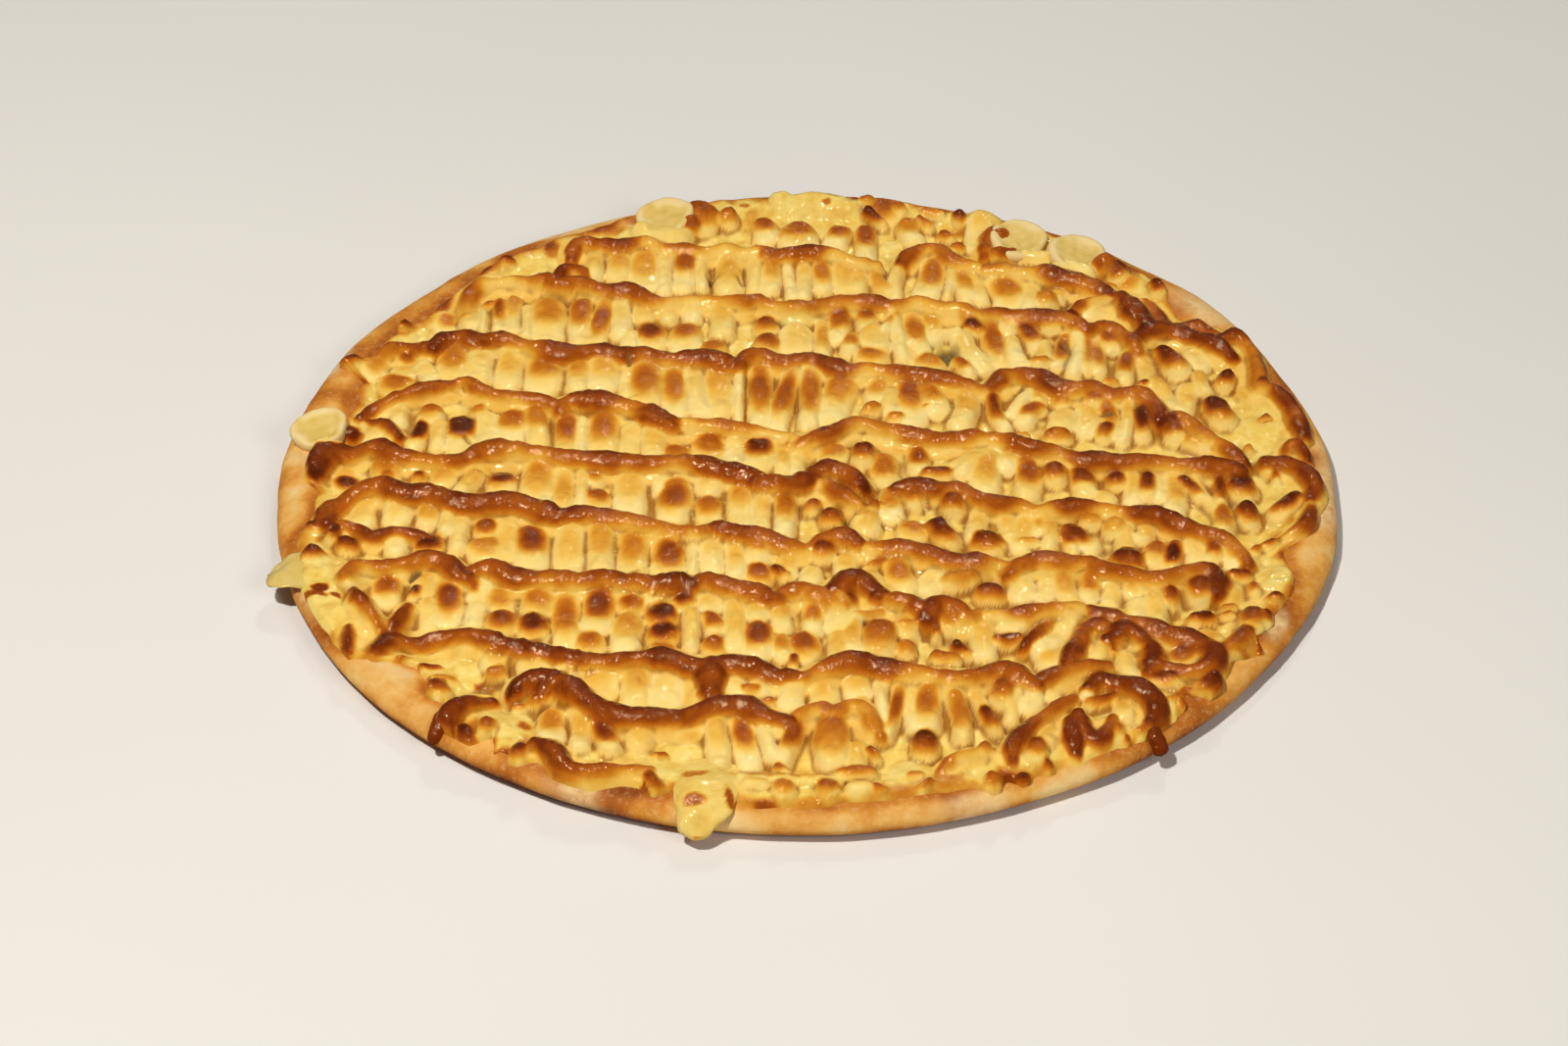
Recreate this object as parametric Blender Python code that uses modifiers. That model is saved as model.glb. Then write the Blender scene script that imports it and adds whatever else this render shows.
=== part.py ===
"""Round pizza with a lattice of piped cream cheese, browned in the oven.

A thin crust with a low rounded rim carries one melted layer. In that layer soft strips run
from front to back, and thicker ropes cross them from left to right and end in hooks and loops.
Four slices of palm heart rest on the rim. Metres, +Z up, the crust lies flat on z = 0.
"""
import math

import bmesh
import bpy
from mathutils import Euler, Matrix, Vector

CLEARANCE = 0.0003            # between pieces that touch
WELD = 0.00001                # merge distance of caps and seams

# Crust: a flat base disc with a raised, rounded rim
CRUST_RADIUS = 0.175
BASE_HEIGHT = 0.004
RIM_HEIGHT = 0.0098
RIM_WIDTH = 0.026             # from where the dough starts to rise to the outer edge
EDGE_ROUND = 0.009            # how far in the rounded outer edge starts
RIM_STEPS = 4
EDGE_STEPS = 6
CRUST_SIDES = 72

# Outlines seen from above, as angle (degrees from +X, anticlockwise) and radius: the crust,
# hand-made and a little flat behind, and the melted layer on it
CRUST_EDGE = (
    (0, 0.1775), (20, 0.1745), (32, 0.1745), (46, 0.1705), (75, 0.1655), (112, 0.1655),
    (140, 0.1690), (160, 0.1735), (185, 0.1757), (205, 0.1772), (218, 0.1774), (245, 0.1762),
    (270, 0.1752), (292, 0.1746), (308, 0.1756), (321, 0.1762), (345, 0.1788),
)
MELT_EDGE = (
    (0, 0.168), (10, 0.171), (16, 0.166), (23, 0.170), (28, 0.163), (34, 0.159), (40, 0.164),
    (60, 0.163), (72, 0.160), (92, 0.161), (112, 0.159), (133, 0.160), (146, 0.157),
    (155, 0.161), (168, 0.158), (178, 0.161), (192, 0.163), (200, 0.169), (209, 0.170),
    (221, 0.159), (226, 0.166), (232, 0.163), (244, 0.171), (253, 0.168), (268, 0.169),
    (284, 0.168), (308, 0.171), (321, 0.167), (336, 0.171), (344, 0.164), (353, 0.170),
)
MELT_EDGE_HEIGHT = 0.0012     # thickness of the layer at its edge
MELT_HEIGHT = 0.0040          # and well inside it
MELT_RUN = 0.025              # over which the edge thickens
MELT_UNDERSIDE = 0.002        # below the dough, so that the dough trims it

# Strips from front to back, one ridge of the layer each
STRIP_PITCH = 0.0112
STRIP_HEIGHT = 0.0042
STRIP_FADE = (0.004, 0.016)   # distance from the edge where a strip starts and is full
STRIP_ROW = 0.0125            # length of one step along a strip
STRIP_WANDER = 0.0016         # how far a strip strays sideways
STRIP_WAVES = (38.0, 61.0)    # waves of that per metre along Y and X, in radians
STRIP_DIMPLE = 0.1            # share of its height that a strip's crest goes up and down
DIMPLE_WAVES = (95.0, 210.0)
LOOSE_SIDE = 0.03             # towards this X the strips get twice as crooked
LAYER_REACH = 0.181

# Ropes from left to right: radius and the points on the way, seen from above
THIN = 0.0029
SLIM = 0.0034
MEDIUM = 0.0039
THICK = 0.0044
HEAVY = 0.0054
ROPE_LIFT = 0.0010            # centre line above the strips' crests
ROPE_SINK = 0.2               # share of its radius that a rope sinks back into them
ROPE_END = 0.6                # radius at a rope's ends, as a share
ROPE_STEP = 0.0105
ROPES = (
    # back row
    (SLIM, ((-0.083, 0.118), (-0.078, 0.127), (-0.063, 0.124), (-0.055, 0.126), (-0.048, 0.122),
            (-0.027, 0.122), (-0.020, 0.118), (0.000, 0.118), (0.012, 0.117), (0.027, 0.112))),
    (SLIM, ((0.036, 0.114), (0.041, 0.122), (0.050, 0.121), (0.055, 0.114), (0.061, 0.111))),
    (THICK, ((0.064, 0.109), (0.082, 0.106), (0.094, 0.103), (0.110, 0.094))),
    # second row
    (SLIM, ((-0.119, 0.083), (-0.118, 0.094), (-0.109, 0.103), (-0.092, 0.103), (-0.079, 0.100),
            (-0.063, 0.096), (-0.051, 0.088), (-0.039, 0.091), (-0.011, 0.087), (0.015, 0.088),
            (0.033, 0.086), (0.041, 0.088), (0.062, 0.081), (0.079, 0.080), (0.093, 0.077),
            (0.101, 0.070))),
    (SLIM, ((0.101, 0.072), (0.107, 0.074), (0.113, 0.069), (0.118, 0.058))),
    # third row
    (SLIM, ((-0.147, 0.060), (-0.140, 0.065), (-0.129, 0.060))),
    (MEDIUM, ((-0.128, 0.060), (-0.119, 0.067), (-0.105, 0.066), (-0.090, 0.059),
              (-0.071, 0.059), (-0.055, 0.057), (-0.031, 0.054), (-0.024, 0.051))),
    (SLIM, ((-0.023, 0.050), (-0.013, 0.056), (0.005, 0.054), (0.016, 0.048), (0.039, 0.046),
            (0.064, 0.037))),
    (MEDIUM, ((0.063, 0.037), (0.072, 0.044), (0.080, 0.043), (0.090, 0.036), (0.099, 0.037),
              (0.106, 0.033), (0.113, 0.034), (0.121, 0.024))),
    (THIN, ((0.120, 0.020), (0.127, 0.021), (0.136, 0.010), (0.147, -0.003))),
    # fourth row
    (THIN, ((-0.151, 0.027), (-0.139, 0.034), (-0.116, 0.041), (-0.103, 0.033), (-0.083, 0.027))),
    (THICK, ((-0.083, 0.025), (-0.073, 0.030), (-0.058, 0.025), (-0.043, 0.016))),
    (THIN, ((-0.043, 0.016), (-0.027, 0.015), (-0.014, 0.012), (-0.003, 0.008))),
    (MEDIUM, ((-0.004, 0.005), (0.009, 0.012), (0.021, 0.017), (0.043, 0.009), (0.063, 0.009),
              (0.082, 0.002), (0.101, -0.003), (0.127, -0.006), (0.146, -0.009))),
    # fifth row
    (MEDIUM, ((-0.162, -0.007), (-0.161, 0.003), (-0.151, 0.004), (-0.136, 0.000),
              (-0.117, -0.004))),
    (THICK, ((-0.115, -0.003), (-0.105, 0.002), (-0.087, 0.000), (-0.071, -0.004),
             (-0.042, -0.006), (-0.027, -0.009), (-0.013, -0.016), (0.001, -0.016))),
    (MEDIUM, ((0.003, -0.010), (0.009, -0.008), (0.019, -0.017))),
    (MEDIUM, ((0.001, -0.018), (0.008, -0.016), (0.018, -0.027))),
    (SLIM, ((0.031, -0.018), (0.038, -0.017), (0.051, -0.019), (0.063, -0.027), (0.082, -0.029),
            (0.098, -0.029), (0.116, -0.033), (0.131, -0.043), (0.143, -0.057))),
    # sixth row
    (THICK, ((-0.156, -0.035), (-0.154, -0.025), (-0.144, -0.017), (-0.123, -0.022),
             (-0.107, -0.028), (-0.092, -0.028), (-0.081, -0.034))),
    (MEDIUM, ((-0.080, -0.034), (-0.062, -0.035), (-0.045, -0.040), (-0.032, -0.043))),
    (MEDIUM, ((-0.033, -0.041), (-0.013, -0.045), (-0.001, -0.050))),
    (THICK, ((0.002, -0.052), (0.009, -0.045), (0.020, -0.048))),
    (SLIM, ((0.018, -0.048), (0.033, -0.050), (0.048, -0.056), (0.066, -0.061))),
    (MEDIUM, ((0.066, -0.063), (0.078, -0.056), (0.092, -0.058), (0.103, -0.063),
              (0.115, -0.065), (0.127, -0.062), (0.133, -0.071))),
    # seventh row
    (MEDIUM, ((-0.147, -0.065), (-0.142, -0.060), (-0.120, -0.056), (-0.109, -0.064))),
    (THICK, ((-0.108, -0.066), (-0.100, -0.062), (-0.087, -0.066), (-0.063, -0.066),
             (-0.040, -0.068))),
    (THICK, ((-0.037, -0.070), (-0.030, -0.067), (-0.015, -0.073), (-0.008, -0.075))),
    (MEDIUM, ((-0.007, -0.074), (0.002, -0.072), (0.013, -0.080))),
    (HEAVY, ((0.010, -0.072), (0.017, -0.067), (0.025, -0.075))),
    (MEDIUM, ((0.024, -0.075), (0.035, -0.078))),
    (THICK, ((0.039, -0.086), (0.044, -0.080), (0.053, -0.085))),
    (SLIM, ((0.055, -0.083), (0.068, -0.083), (0.083, -0.081), (0.090, -0.081))),
    (MEDIUM, ((0.091, -0.081), (0.102, -0.087), (0.122, -0.095), (0.128, -0.105),
              (0.117, -0.110), (0.107, -0.110))),
    (SLIM, ((0.096, -0.095), (0.101, -0.091), (0.109, -0.100), (0.108, -0.106))),
    (SLIM, ((0.082, -0.106), (0.087, -0.093), (0.096, -0.090))),
    # eighth row, with a thick drop hanging from it
    (MEDIUM, ((-0.134, -0.098), (-0.121, -0.094), (-0.105, -0.094), (-0.082, -0.101),
              (-0.061, -0.107), (-0.043, -0.105), (-0.029, -0.109), (-0.007, -0.113))),
    (HEAVY, ((-0.029, -0.112), (-0.029, -0.121))),
    (THICK, ((0.000, -0.114), (0.012, -0.108), (0.029, -0.111), (0.049, -0.114),
             (0.061, -0.110), (0.068, -0.114))),
    (SLIM, ((0.071, -0.117), (0.080, -0.111), (0.094, -0.108))),
    # ninth row
    (THICK, ((-0.090, -0.118), (-0.079, -0.116), (-0.067, -0.125), (-0.055, -0.133),
             (-0.039, -0.133), (-0.025, -0.127), (-0.012, -0.131))),
    (SLIM, ((-0.005, -0.134), (0.003, -0.129), (0.015, -0.127), (0.023, -0.139))),
    # along the front rim
    (SLIM, ((-0.082, -0.143), (-0.073, -0.154), (-0.062, -0.157), (-0.047, -0.155))),
    (MEDIUM, ((-0.097, -0.121), (-0.107, -0.128), (-0.111, -0.141))),
    (SLIM, ((0.062, -0.151), (0.067, -0.139), (0.082, -0.124))),
    (MEDIUM, ((0.088, -0.118), (0.098, -0.117), (0.107, -0.127), (0.106, -0.134))),
    (THIN, ((0.081, -0.134), (0.082, -0.147))),
    (THIN, ((0.084, -0.131), (0.088, -0.141), (0.094, -0.133))),
    # along the right rim
    (HEAVY, ((0.114, 0.092), (0.121, 0.076))),
    (THIN, ((0.122, 0.094), (0.131, 0.078), (0.147, 0.067))),
    (MEDIUM, ((0.117, 0.067), (0.127, 0.074), (0.140, 0.066), (0.149, 0.056))),
    (SLIM, ((0.147, 0.066), (0.155, 0.063), (0.156, 0.042), (0.165, 0.029), (0.168, 0.011))),
    (MEDIUM, ((0.155, -0.002), (0.165, -0.008), (0.167, -0.024))),
    (THIN, ((0.167, -0.024), (0.164, -0.037), (0.157, -0.041))),
    # thin stray runs on the left
    (THIN, ((-0.152, -0.036), (-0.140, -0.044), (-0.121, -0.044))),
    (THIN, ((-0.150, 0.025), (-0.136, 0.011))),
    (THIN, ((-0.143, -0.074), (-0.133, -0.091))),
    (THIN, ((-0.126, -0.079), (-0.130, -0.091))),
)

# Oval drops: centre, length, width and turn of the length from +X in degrees
DROPS = (
    (-0.05, 0.146, 0.018, 0.016, 70), (-0.037, 0.143, 0.018, 0.015, 70),
    (-0.027, 0.144, 0.01, 0.009, 80), (0.087, 0.092, 0.012, 0.01, 90),
    (0.113, 0.109, 0.011, 0.0085, 90), (0.0505, 0.072, 0.013, 0.006, 0),
    (0.128, 0.055, 0.02, 0.01, 118), (0.0995, 0.034, 0.015, 0.0095, 90),
    (0.1455, 0.044, 0.011, 0.0075, 70), (0.086, 0.012, 0.011, 0.0075, 0),
    (0.1025, 0.015, 0.011, 0.007, 70), (0.115, 0.019, 0.018, 0.0065, 88),
    (0.1255, 0.016, 0.017, 0.0085, 95), (0.1415, 0.026, 0.018, 0.011, 108),
    (0.0205, 0.0015, 0.015, 0.009, 90), (0.0445, -0.0085, 0.012, 0.007, 0),
    (0.0835, -0.009, 0.013, 0.0095, 90), (0.133, 0.008, 0.013, 0.0085, -30),
    (0.004, -0.013, 0.011, 0.007, 60), (0.013, -0.019, 0.013, 0.008, -40),
    (0.0365, -0.0215, 0.012, 0.008, -62), (0.049, -0.0255, 0.012, 0.0095, 90),
    (0.114, -0.0155, 0.016, 0.0065, 85), (0.1285, -0.0165, 0.015, 0.0055, -58),
    (0.138, -0.018, 0.017, 0.005, 88), (0.146, -0.0295, 0.013, 0.0085, 92),
    (0.159, -0.025, 0.015, 0.0085, 42), (-0.148, -0.047, 0.01, 0.0085, 90),
    (0.006, -0.0495, 0.013, 0.0105, 85), (0.0095, -0.032, 0.01, 0.009, 90),
    (0.0455, -0.041, 0.018, 0.0095, -64), (0.06, -0.0445, 0.013, 0.0125, 0),
    (0.1015, -0.038, 0.01, 0.009, 90), (-0.159, -0.053, 0.01, 0.008, 60),
    (0.05, -0.065, 0.015, 0.008, 15), (0.1045, -0.055, 0.014, 0.0115, 90),
    (0.127, -0.069, 0.015, 0.0115, 72), (0.014, -0.077, 0.011, 0.008, 80),
    (0.047, -0.082, 0.017, 0.0155, 90), (0.0595, -0.071, 0.012, 0.0105, 0),
    (0.126, -0.083, 0.011, 0.007, 8), (0.1415, -0.085, 0.014, 0.0085, 85),
    (0.0235, -0.094, 0.021, 0.0125, 85), (0.119, -0.101, 0.014, 0.012, 60),
    (0.1355, -0.097, 0.021, 0.0085, 55), (-0.113, -0.117, 0.011, 0.0075, -60),
    (0.0613, -0.12, 0.015, 0.009, 86), (0.111, -0.113, 0.014, 0.01, 0),
    (0.126, -0.1165, 0.0115, 0.008, 35), (0.008, -0.142, 0.025, 0.0115, 92),
    (0.0363, -0.143, 0.0135, 0.0098, 88), (0.057, -0.132, 0.015, 0.006, -72),
    (0.07, -0.147, 0.013, 0.0075, 86), (-0.006, -0.164, 0.01, 0.008, 90),
    (0.0065, -0.163, 0.01, 0.0075, 90), (0.015, -0.156, 0.015, 0.0065, 6),
)
DROP_RISE = 0.0036            # half height of a drop
DROP_SINK = 0.2               # share of a strip's height that a drop's centre lies below it
BALL_SEGMENTS = 8
BALL_RINGS = 4

# Runs of melted cheese over the rim: start, end, width at both
RUNS = (
    ((-0.031, -0.150), (-0.0315, -0.1745), 0.022, 0.016),
    ((-0.150, -0.060), (-0.1650, -0.059), 0.024, 0.018),
    ((0.107, -0.130), (0.1075, -0.1385), 0.006, 0.005),
    ((0.146, 0.012), (0.160, 0.014), 0.028, 0.020),
    ((0.142, -0.058), (0.157, -0.062), 0.026, 0.018),
    ((0.004, 0.148), (0.004, 0.162), 0.036, 0.026),
    ((0.064, 0.138), (0.067, 0.150), 0.018, 0.012),
)
RUN_RISE = 0.0026             # half height of a run
RUN_OVERLAP = 0.010           # how much longer a part of a run is than its share
RUN_BALLS = 6
SKIN_GRAIN = 0.0011           # finest detail of the joined cheese
SKIN_FACES = 8000             # its triangles before the crust and the slices trim it

# Slices of palm heart: node name, centre, radius, height, tilt about X and Y, turn about Z
SLICE_SIDES = 20
SLICE_BEVEL = 0.0014
SHARP_ANGLE = 50              # degrees above which an edge is shaded sharp
SLICES = (
    ("palm_slice_left", (-0.1632, 0.0138, 0.0122), 0.0096, 0.0044, 4, -8, 20),
    ("palm_slice_back_left", (-0.0500, 0.1425, 0.0120), 0.0106, 0.0044, 6, -5, 0),
    ("palm_slice_back", (0.0785, 0.1280, 0.0121), 0.0106, 0.0042, 6, 5, 0),
    ("palm_slice_back_right", (0.0990, 0.1195, 0.0118), 0.0104, 0.0042, 4, 7, 0),
)


def smooth(low, high, value):
    """Return 0 below low, 1 above high and an S curve between."""
    share = min(max((value - low) / (high - low), 0.0), 1.0)
    return share * share * (3.0 - 2.0 * share)


def edge_radius(edge, angle):
    """Return the radius of an outline at an angle in radians."""
    turn = math.degrees(angle) % 360.0
    closed = edge + ((edge[0][0] + 360, edge[0][1]),)
    for (low, near), (high, far) in zip(closed, closed[1:]):
        if turn <= high:
            return near + (far - near) * smooth(low, high, turn)
    return edge[0][1]


def swell(angle):
    """Return how much the round crust is scaled at an angle in radians."""
    return edge_radius(CRUST_EDGE, angle) / CRUST_RADIUS


def dough_top(radius):
    """Return the height of the dough's upper surface at a radius."""
    crest = CRUST_RADIUS - EDGE_ROUND
    if radius <= crest:
        rise = smooth(CRUST_RADIUS - RIM_WIDTH, crest, radius)
        return BASE_HEIGHT + (RIM_HEIGHT - BASE_HEIGHT) * rise
    over = min((radius - crest) / EDGE_ROUND, 1.0)
    return 0.5 * RIM_HEIGHT * (1.0 + math.sqrt(1.0 - over * over))


def layer_top(x, y):
    """Return the heights of the melted layer and of a strip's crest above it."""
    angle = math.atan2(y, x)
    radius = math.hypot(x, y)
    inside = edge_radius(MELT_EDGE, angle) - radius
    melt = MELT_EDGE_HEIGHT + (MELT_HEIGHT - MELT_EDGE_HEIGHT) * smooth(0.0, MELT_RUN, inside)
    return dough_top(radius / swell(angle)) + melt, STRIP_HEIGHT * smooth(*STRIP_FADE, inside)


def make_material(name, colour, roughness):
    """Return a plain Principled material."""
    material = bpy.data.materials.new(name)
    material.use_nodes = True
    shader = material.node_tree.nodes["Principled BSDF"]
    shader.inputs["Base Color"].default_value = (*colour, 1.0)
    shader.inputs["Roughness"].default_value = roughness
    shader.inputs["Metallic"].default_value = 0.0
    return material


def add_mesh(name, shape, collection):
    """Turn a bmesh into a linked object."""
    mesh = bpy.data.meshes.new(name)
    shape.to_mesh(mesh)
    shape.free()
    piece = bpy.data.objects.new(name, mesh)
    collection.objects.link(piece)
    return piece


def weld(mesh):
    """Join the loose caps and seams of a turned or swept mesh."""
    shape = bmesh.new()
    shape.from_mesh(mesh)
    bmesh.ops.remove_doubles(shape, verts=shape.verts[:], dist=WELD)
    shape.to_mesh(mesh)
    shape.free()


def freeze(piece):
    """Replace an object by a mesh object of its evaluated shape."""
    depsgraph = bpy.context.evaluated_depsgraph_get()
    mesh = bpy.data.meshes.new_from_object(piece.evaluated_get(depsgraph))
    name, place, collection = piece.name, piece.matrix_world.copy(), piece.users_collection[0]
    bpy.data.objects.remove(piece)
    frozen = bpy.data.objects.new(name, mesh)
    frozen.matrix_world = place
    collection.objects.link(frozen)
    return frozen


def boolean(piece, operation, cutter):
    """Apply one Boolean with an object or a collection as its other operand."""
    step = piece.modifiers.new(operation.lower(), "BOOLEAN")
    step.operation = operation
    step.solver = "MANIFOLD"
    if isinstance(cutter, bpy.types.Collection):
        step.operand_type = "COLLECTION"
        step.collection = cutter
    else:
        step.object = cutter
    return freeze(piece)


def crust_profile(clearance):
    """Return the half section of the crust, from its top centre round to its bottom centre."""
    crest = CRUST_RADIUS - EDGE_ROUND
    start = CRUST_RADIUS - RIM_WIDTH
    section = [(0.0, BASE_HEIGHT)]
    for step in range(RIM_STEPS):
        radius = start + (crest - start) * step / RIM_STEPS
        section.append((radius, dough_top(radius)))
    for step in range(EDGE_STEPS + 1):
        turn = math.pi * (0.5 - step / EDGE_STEPS)
        out = EDGE_ROUND * math.cos(turn)
        section.append((crest + out, 0.5 * RIM_HEIGHT * (1.0 + math.sin(turn))))
    section.append((0.0, 0.0))
    return [grow(section, place, clearance) for place in range(len(section))]


def grow(section, place, clearance):
    """Return one point of a section, moved out by the clearance."""
    radius, height = section[place]
    before = section[max(place - 1, 0)]
    after = section[min(place + 1, len(section) - 1)]
    along = Vector((after[0] - before[0], after[1] - before[1])).normalized()
    out = 0.0 if radius == 0.0 else -along.y * clearance
    rise = clearance if place == 0 else along.x * clearance
    return radius + out, height + rise


def turned_crust(name, collection, clearance=0.0):
    """Turn the crust's section into a disc and make its outline slightly uneven."""
    shape = bmesh.new()
    points = [shape.verts.new((radius, 0.0, height)) for radius, height in crust_profile(clearance)]
    for first, second in zip(points, points[1:]):
        shape.edges.new((first, second))
    piece = add_mesh(name, shape, collection)
    turn = piece.modifiers.new("turn", "SCREW")
    turn.steps = CRUST_SIDES
    turn.render_steps = CRUST_SIDES
    turn.use_merge_vertices = True
    turn.merge_threshold = WELD
    piece = freeze(piece)
    weld(piece.data)
    for vertex in piece.data.vertices:
        scale = swell(math.atan2(vertex.co.y, vertex.co.x))
        vertex.co.x *= scale
        vertex.co.y *= scale
    return piece


def melted_layer(collection):
    """Make the sheet of cheese with its strips as ridges, trimmed to its uneven edge."""
    columns = 2 * round(LAYER_REACH / (0.5 * STRIP_PITCH))
    rows = 2 * round(LAYER_REACH / STRIP_ROW)
    reach = 0.25 * columns * STRIP_PITCH
    shape = bmesh.new()
    bmesh.ops.create_grid(shape, x_segments=columns, y_segments=rows, size=reach)
    for vertex in shape.verts:
        x, y = vertex.co.x, vertex.co.y
        ridge = round((x + reach) / (0.5 * STRIP_PITCH)) % 2
        melt, strip = layer_top(x, y)
        dimple = STRIP_DIMPLE * abs(math.sin(DIMPLE_WAVES[0] * y + DIMPLE_WAVES[1] * x))
        crooked = STRIP_WANDER * (1.0 + smooth(0.0, LOOSE_SIDE, x))
        x += crooked * math.sin(STRIP_WAVES[0] * y + STRIP_WAVES[1] * x)
        vertex.co = (x, y, melt + strip * (ridge - dimple))
    extruded = bmesh.ops.extrude_face_region(shape, geom=shape.faces[:])
    for corner in extruded["geom"]:
        if isinstance(corner, bmesh.types.BMVert):
            corner.co.z = MELT_UNDERSIDE
    bmesh.ops.recalc_face_normals(shape, faces=shape.faces[:])
    return add_mesh("cheese", shape, collection)


def edge_cutter(collection):
    """Make the prism of the melted layer's outline."""
    shape = bmesh.new()
    bmesh.ops.create_cone(shape, cap_ends=True, segments=CRUST_SIDES, radius1=1.0, radius2=1.0,
                          depth=2.0 * LAYER_REACH)
    for vertex in shape.verts:
        angle = math.atan2(vertex.co.y, vertex.co.x)
        radius = edge_radius(MELT_EDGE, angle)
        vertex.co.x = radius * math.cos(angle)
        vertex.co.y = radius * math.sin(angle)
    return add_mesh("edge_cutter", shape, collection)


def bend_through(points, spacing):
    """Return points at an even spacing on a smooth curve through the given points."""
    places = [Vector(points[0]) * 2 - Vector(points[1])] + [Vector(point) for point in points]
    places.append(places[-1] * 2 - places[-2])
    route = []
    for before, start, end, after in zip(places, places[1:], places[2:], places[3:]):
        steps = max(1, round((end - start).length / spacing))
        for step in range(steps):
            share = step / steps
            bend = (2 * start + (end - before) * share
                    + (2 * before - 5 * start + 4 * end - after) * share ** 2
                    + (3 * start - before - 3 * end + after) * share ** 3)
            route.append(0.5 * bend)
    route.append(places[-2])
    return route


def rope(radius, points, collection):
    """Pipe one rope over the strips, with drawn-in ends."""
    route = bend_through(points, ROPE_STEP)
    curve = bpy.data.curves.new("rope", "CURVE")
    curve.dimensions = "3D"
    curve.bevel_depth = radius
    curve.bevel_resolution = 1
    curve.use_fill_caps = True
    spline = curve.splines.new("POLY")
    spline.points.add(len(route) - 1)
    for point, (x, y) in zip(spline.points, route):
        melt, strip = layer_top(x, y)
        point.co = (x, y, melt + strip + ROPE_LIFT - ROPE_SINK * radius, 1.0)
    spline.points[0].radius = ROPE_END
    spline.points[-1].radius = ROPE_END
    piece = bpy.data.objects.new("rope", curve)
    collection.objects.link(piece)
    piece = freeze(piece)
    weld(piece.data)
    return piece


def ball(place, size, turn, collection):
    """Add one oval drop of cheese."""
    shape = bmesh.new()
    bmesh.ops.create_uvsphere(shape, u_segments=BALL_SEGMENTS, v_segments=BALL_RINGS,
                              radius=1.0)
    spin = Matrix.Rotation(math.radians(turn), 4, "Z")
    move = Matrix.Translation(place) @ spin @ Matrix.Diagonal((*size, 1.0))
    bmesh.ops.transform(shape, matrix=move, verts=shape.verts[:])
    return add_mesh("drop", shape, collection)


def drop(x, y, length, width, turn, collection):
    """Set an oval drop on the layer."""
    melt, strip = layer_top(x, y)
    place = Vector((x, y, melt + (1.0 - DROP_SINK) * strip))
    return ball(place, (0.5 * length, 0.5 * width, DROP_RISE), turn, collection)


def run(start, end, first_width, last_width, collection):
    """Lay one tapering run of melted cheese over the rim."""
    begin, finish = Vector(start), Vector(end)
    turn = math.degrees(math.atan2(finish.y - begin.y, finish.x - begin.x))
    for step in range(RUN_BALLS):
        share = step / (RUN_BALLS - 1)
        x, y = begin.lerp(finish, share)
        width = first_width + (last_width - first_width) * share
        melt, _ = layer_top(x, y)
        length = RUN_OVERLAP + (finish - begin).length / RUN_BALLS
        ball(Vector((x, y, melt)), (0.5 * length, 0.5 * width, RUN_RISE), turn, collection)


def slice_solid(name, place, radius, height, tilts, collection):
    """Make one round slice with softened edges."""
    shape = bmesh.new()
    bmesh.ops.create_cone(shape, cap_ends=True, segments=SLICE_SIDES, radius1=radius,
                          radius2=radius, depth=height)
    rims = [edge for edge in shape.edges if abs(edge.verts[0].co.z - edge.verts[1].co.z) < WELD]
    bmesh.ops.bevel(shape, geom=rims, offset=SLICE_BEVEL, segments=2, profile=0.5, affect="EDGES")
    angles = Euler([math.radians(tilt) for tilt in tilts])
    move = Matrix.Translation(place) @ angles.to_matrix().to_4x4()
    bmesh.ops.transform(shape, matrix=move, verts=shape.verts[:])
    return add_mesh(name, shape, collection)


def melt_together(piece):
    """Round off the joints of the fused cheese and keep its triangles where it bends most."""
    skin = piece.modifiers.new("skin", "REMESH")
    skin.mode = "VOXEL"
    skin.voxel_size = SKIN_GRAIN
    piece = freeze(piece)
    thin = piece.modifiers.new("thin", "DECIMATE")
    thin.ratio = SKIN_FACES / (2 * len(piece.data.polygons))
    return freeze(piece)


def keep_largest(piece):
    """Drop loose scraps and sealed bubbles: keep the body with the most vertices."""
    shape = bmesh.new()
    shape.from_mesh(piece.data)
    waiting = set(shape.verts)
    bodies = []
    while waiting:
        front = [waiting.pop()]
        body = list(front)
        while front:
            here = front.pop()
            linked = [edge.other_vert(here) for edge in here.link_edges]
            fresh = [vertex for vertex in linked if vertex in waiting]
            waiting.difference_update(fresh)
            front.extend(fresh)
            body.extend(fresh)
        bodies.append(body)
    bodies.sort(key=len)
    for scrap in bodies[:-1]:
        bmesh.ops.delete(shape, geom=scrap, context="VERTS")
    shape.to_mesh(piece.data)
    shape.free()


def finish(piece, material):
    """Give a piece its material and smooth shading."""
    piece.data.materials.clear()
    piece.data.materials.append(material)
    piece.data.shade_smooth()
    piece.data.set_sharp_from_angle(angle=math.radians(SHARP_ANGLE))


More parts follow.
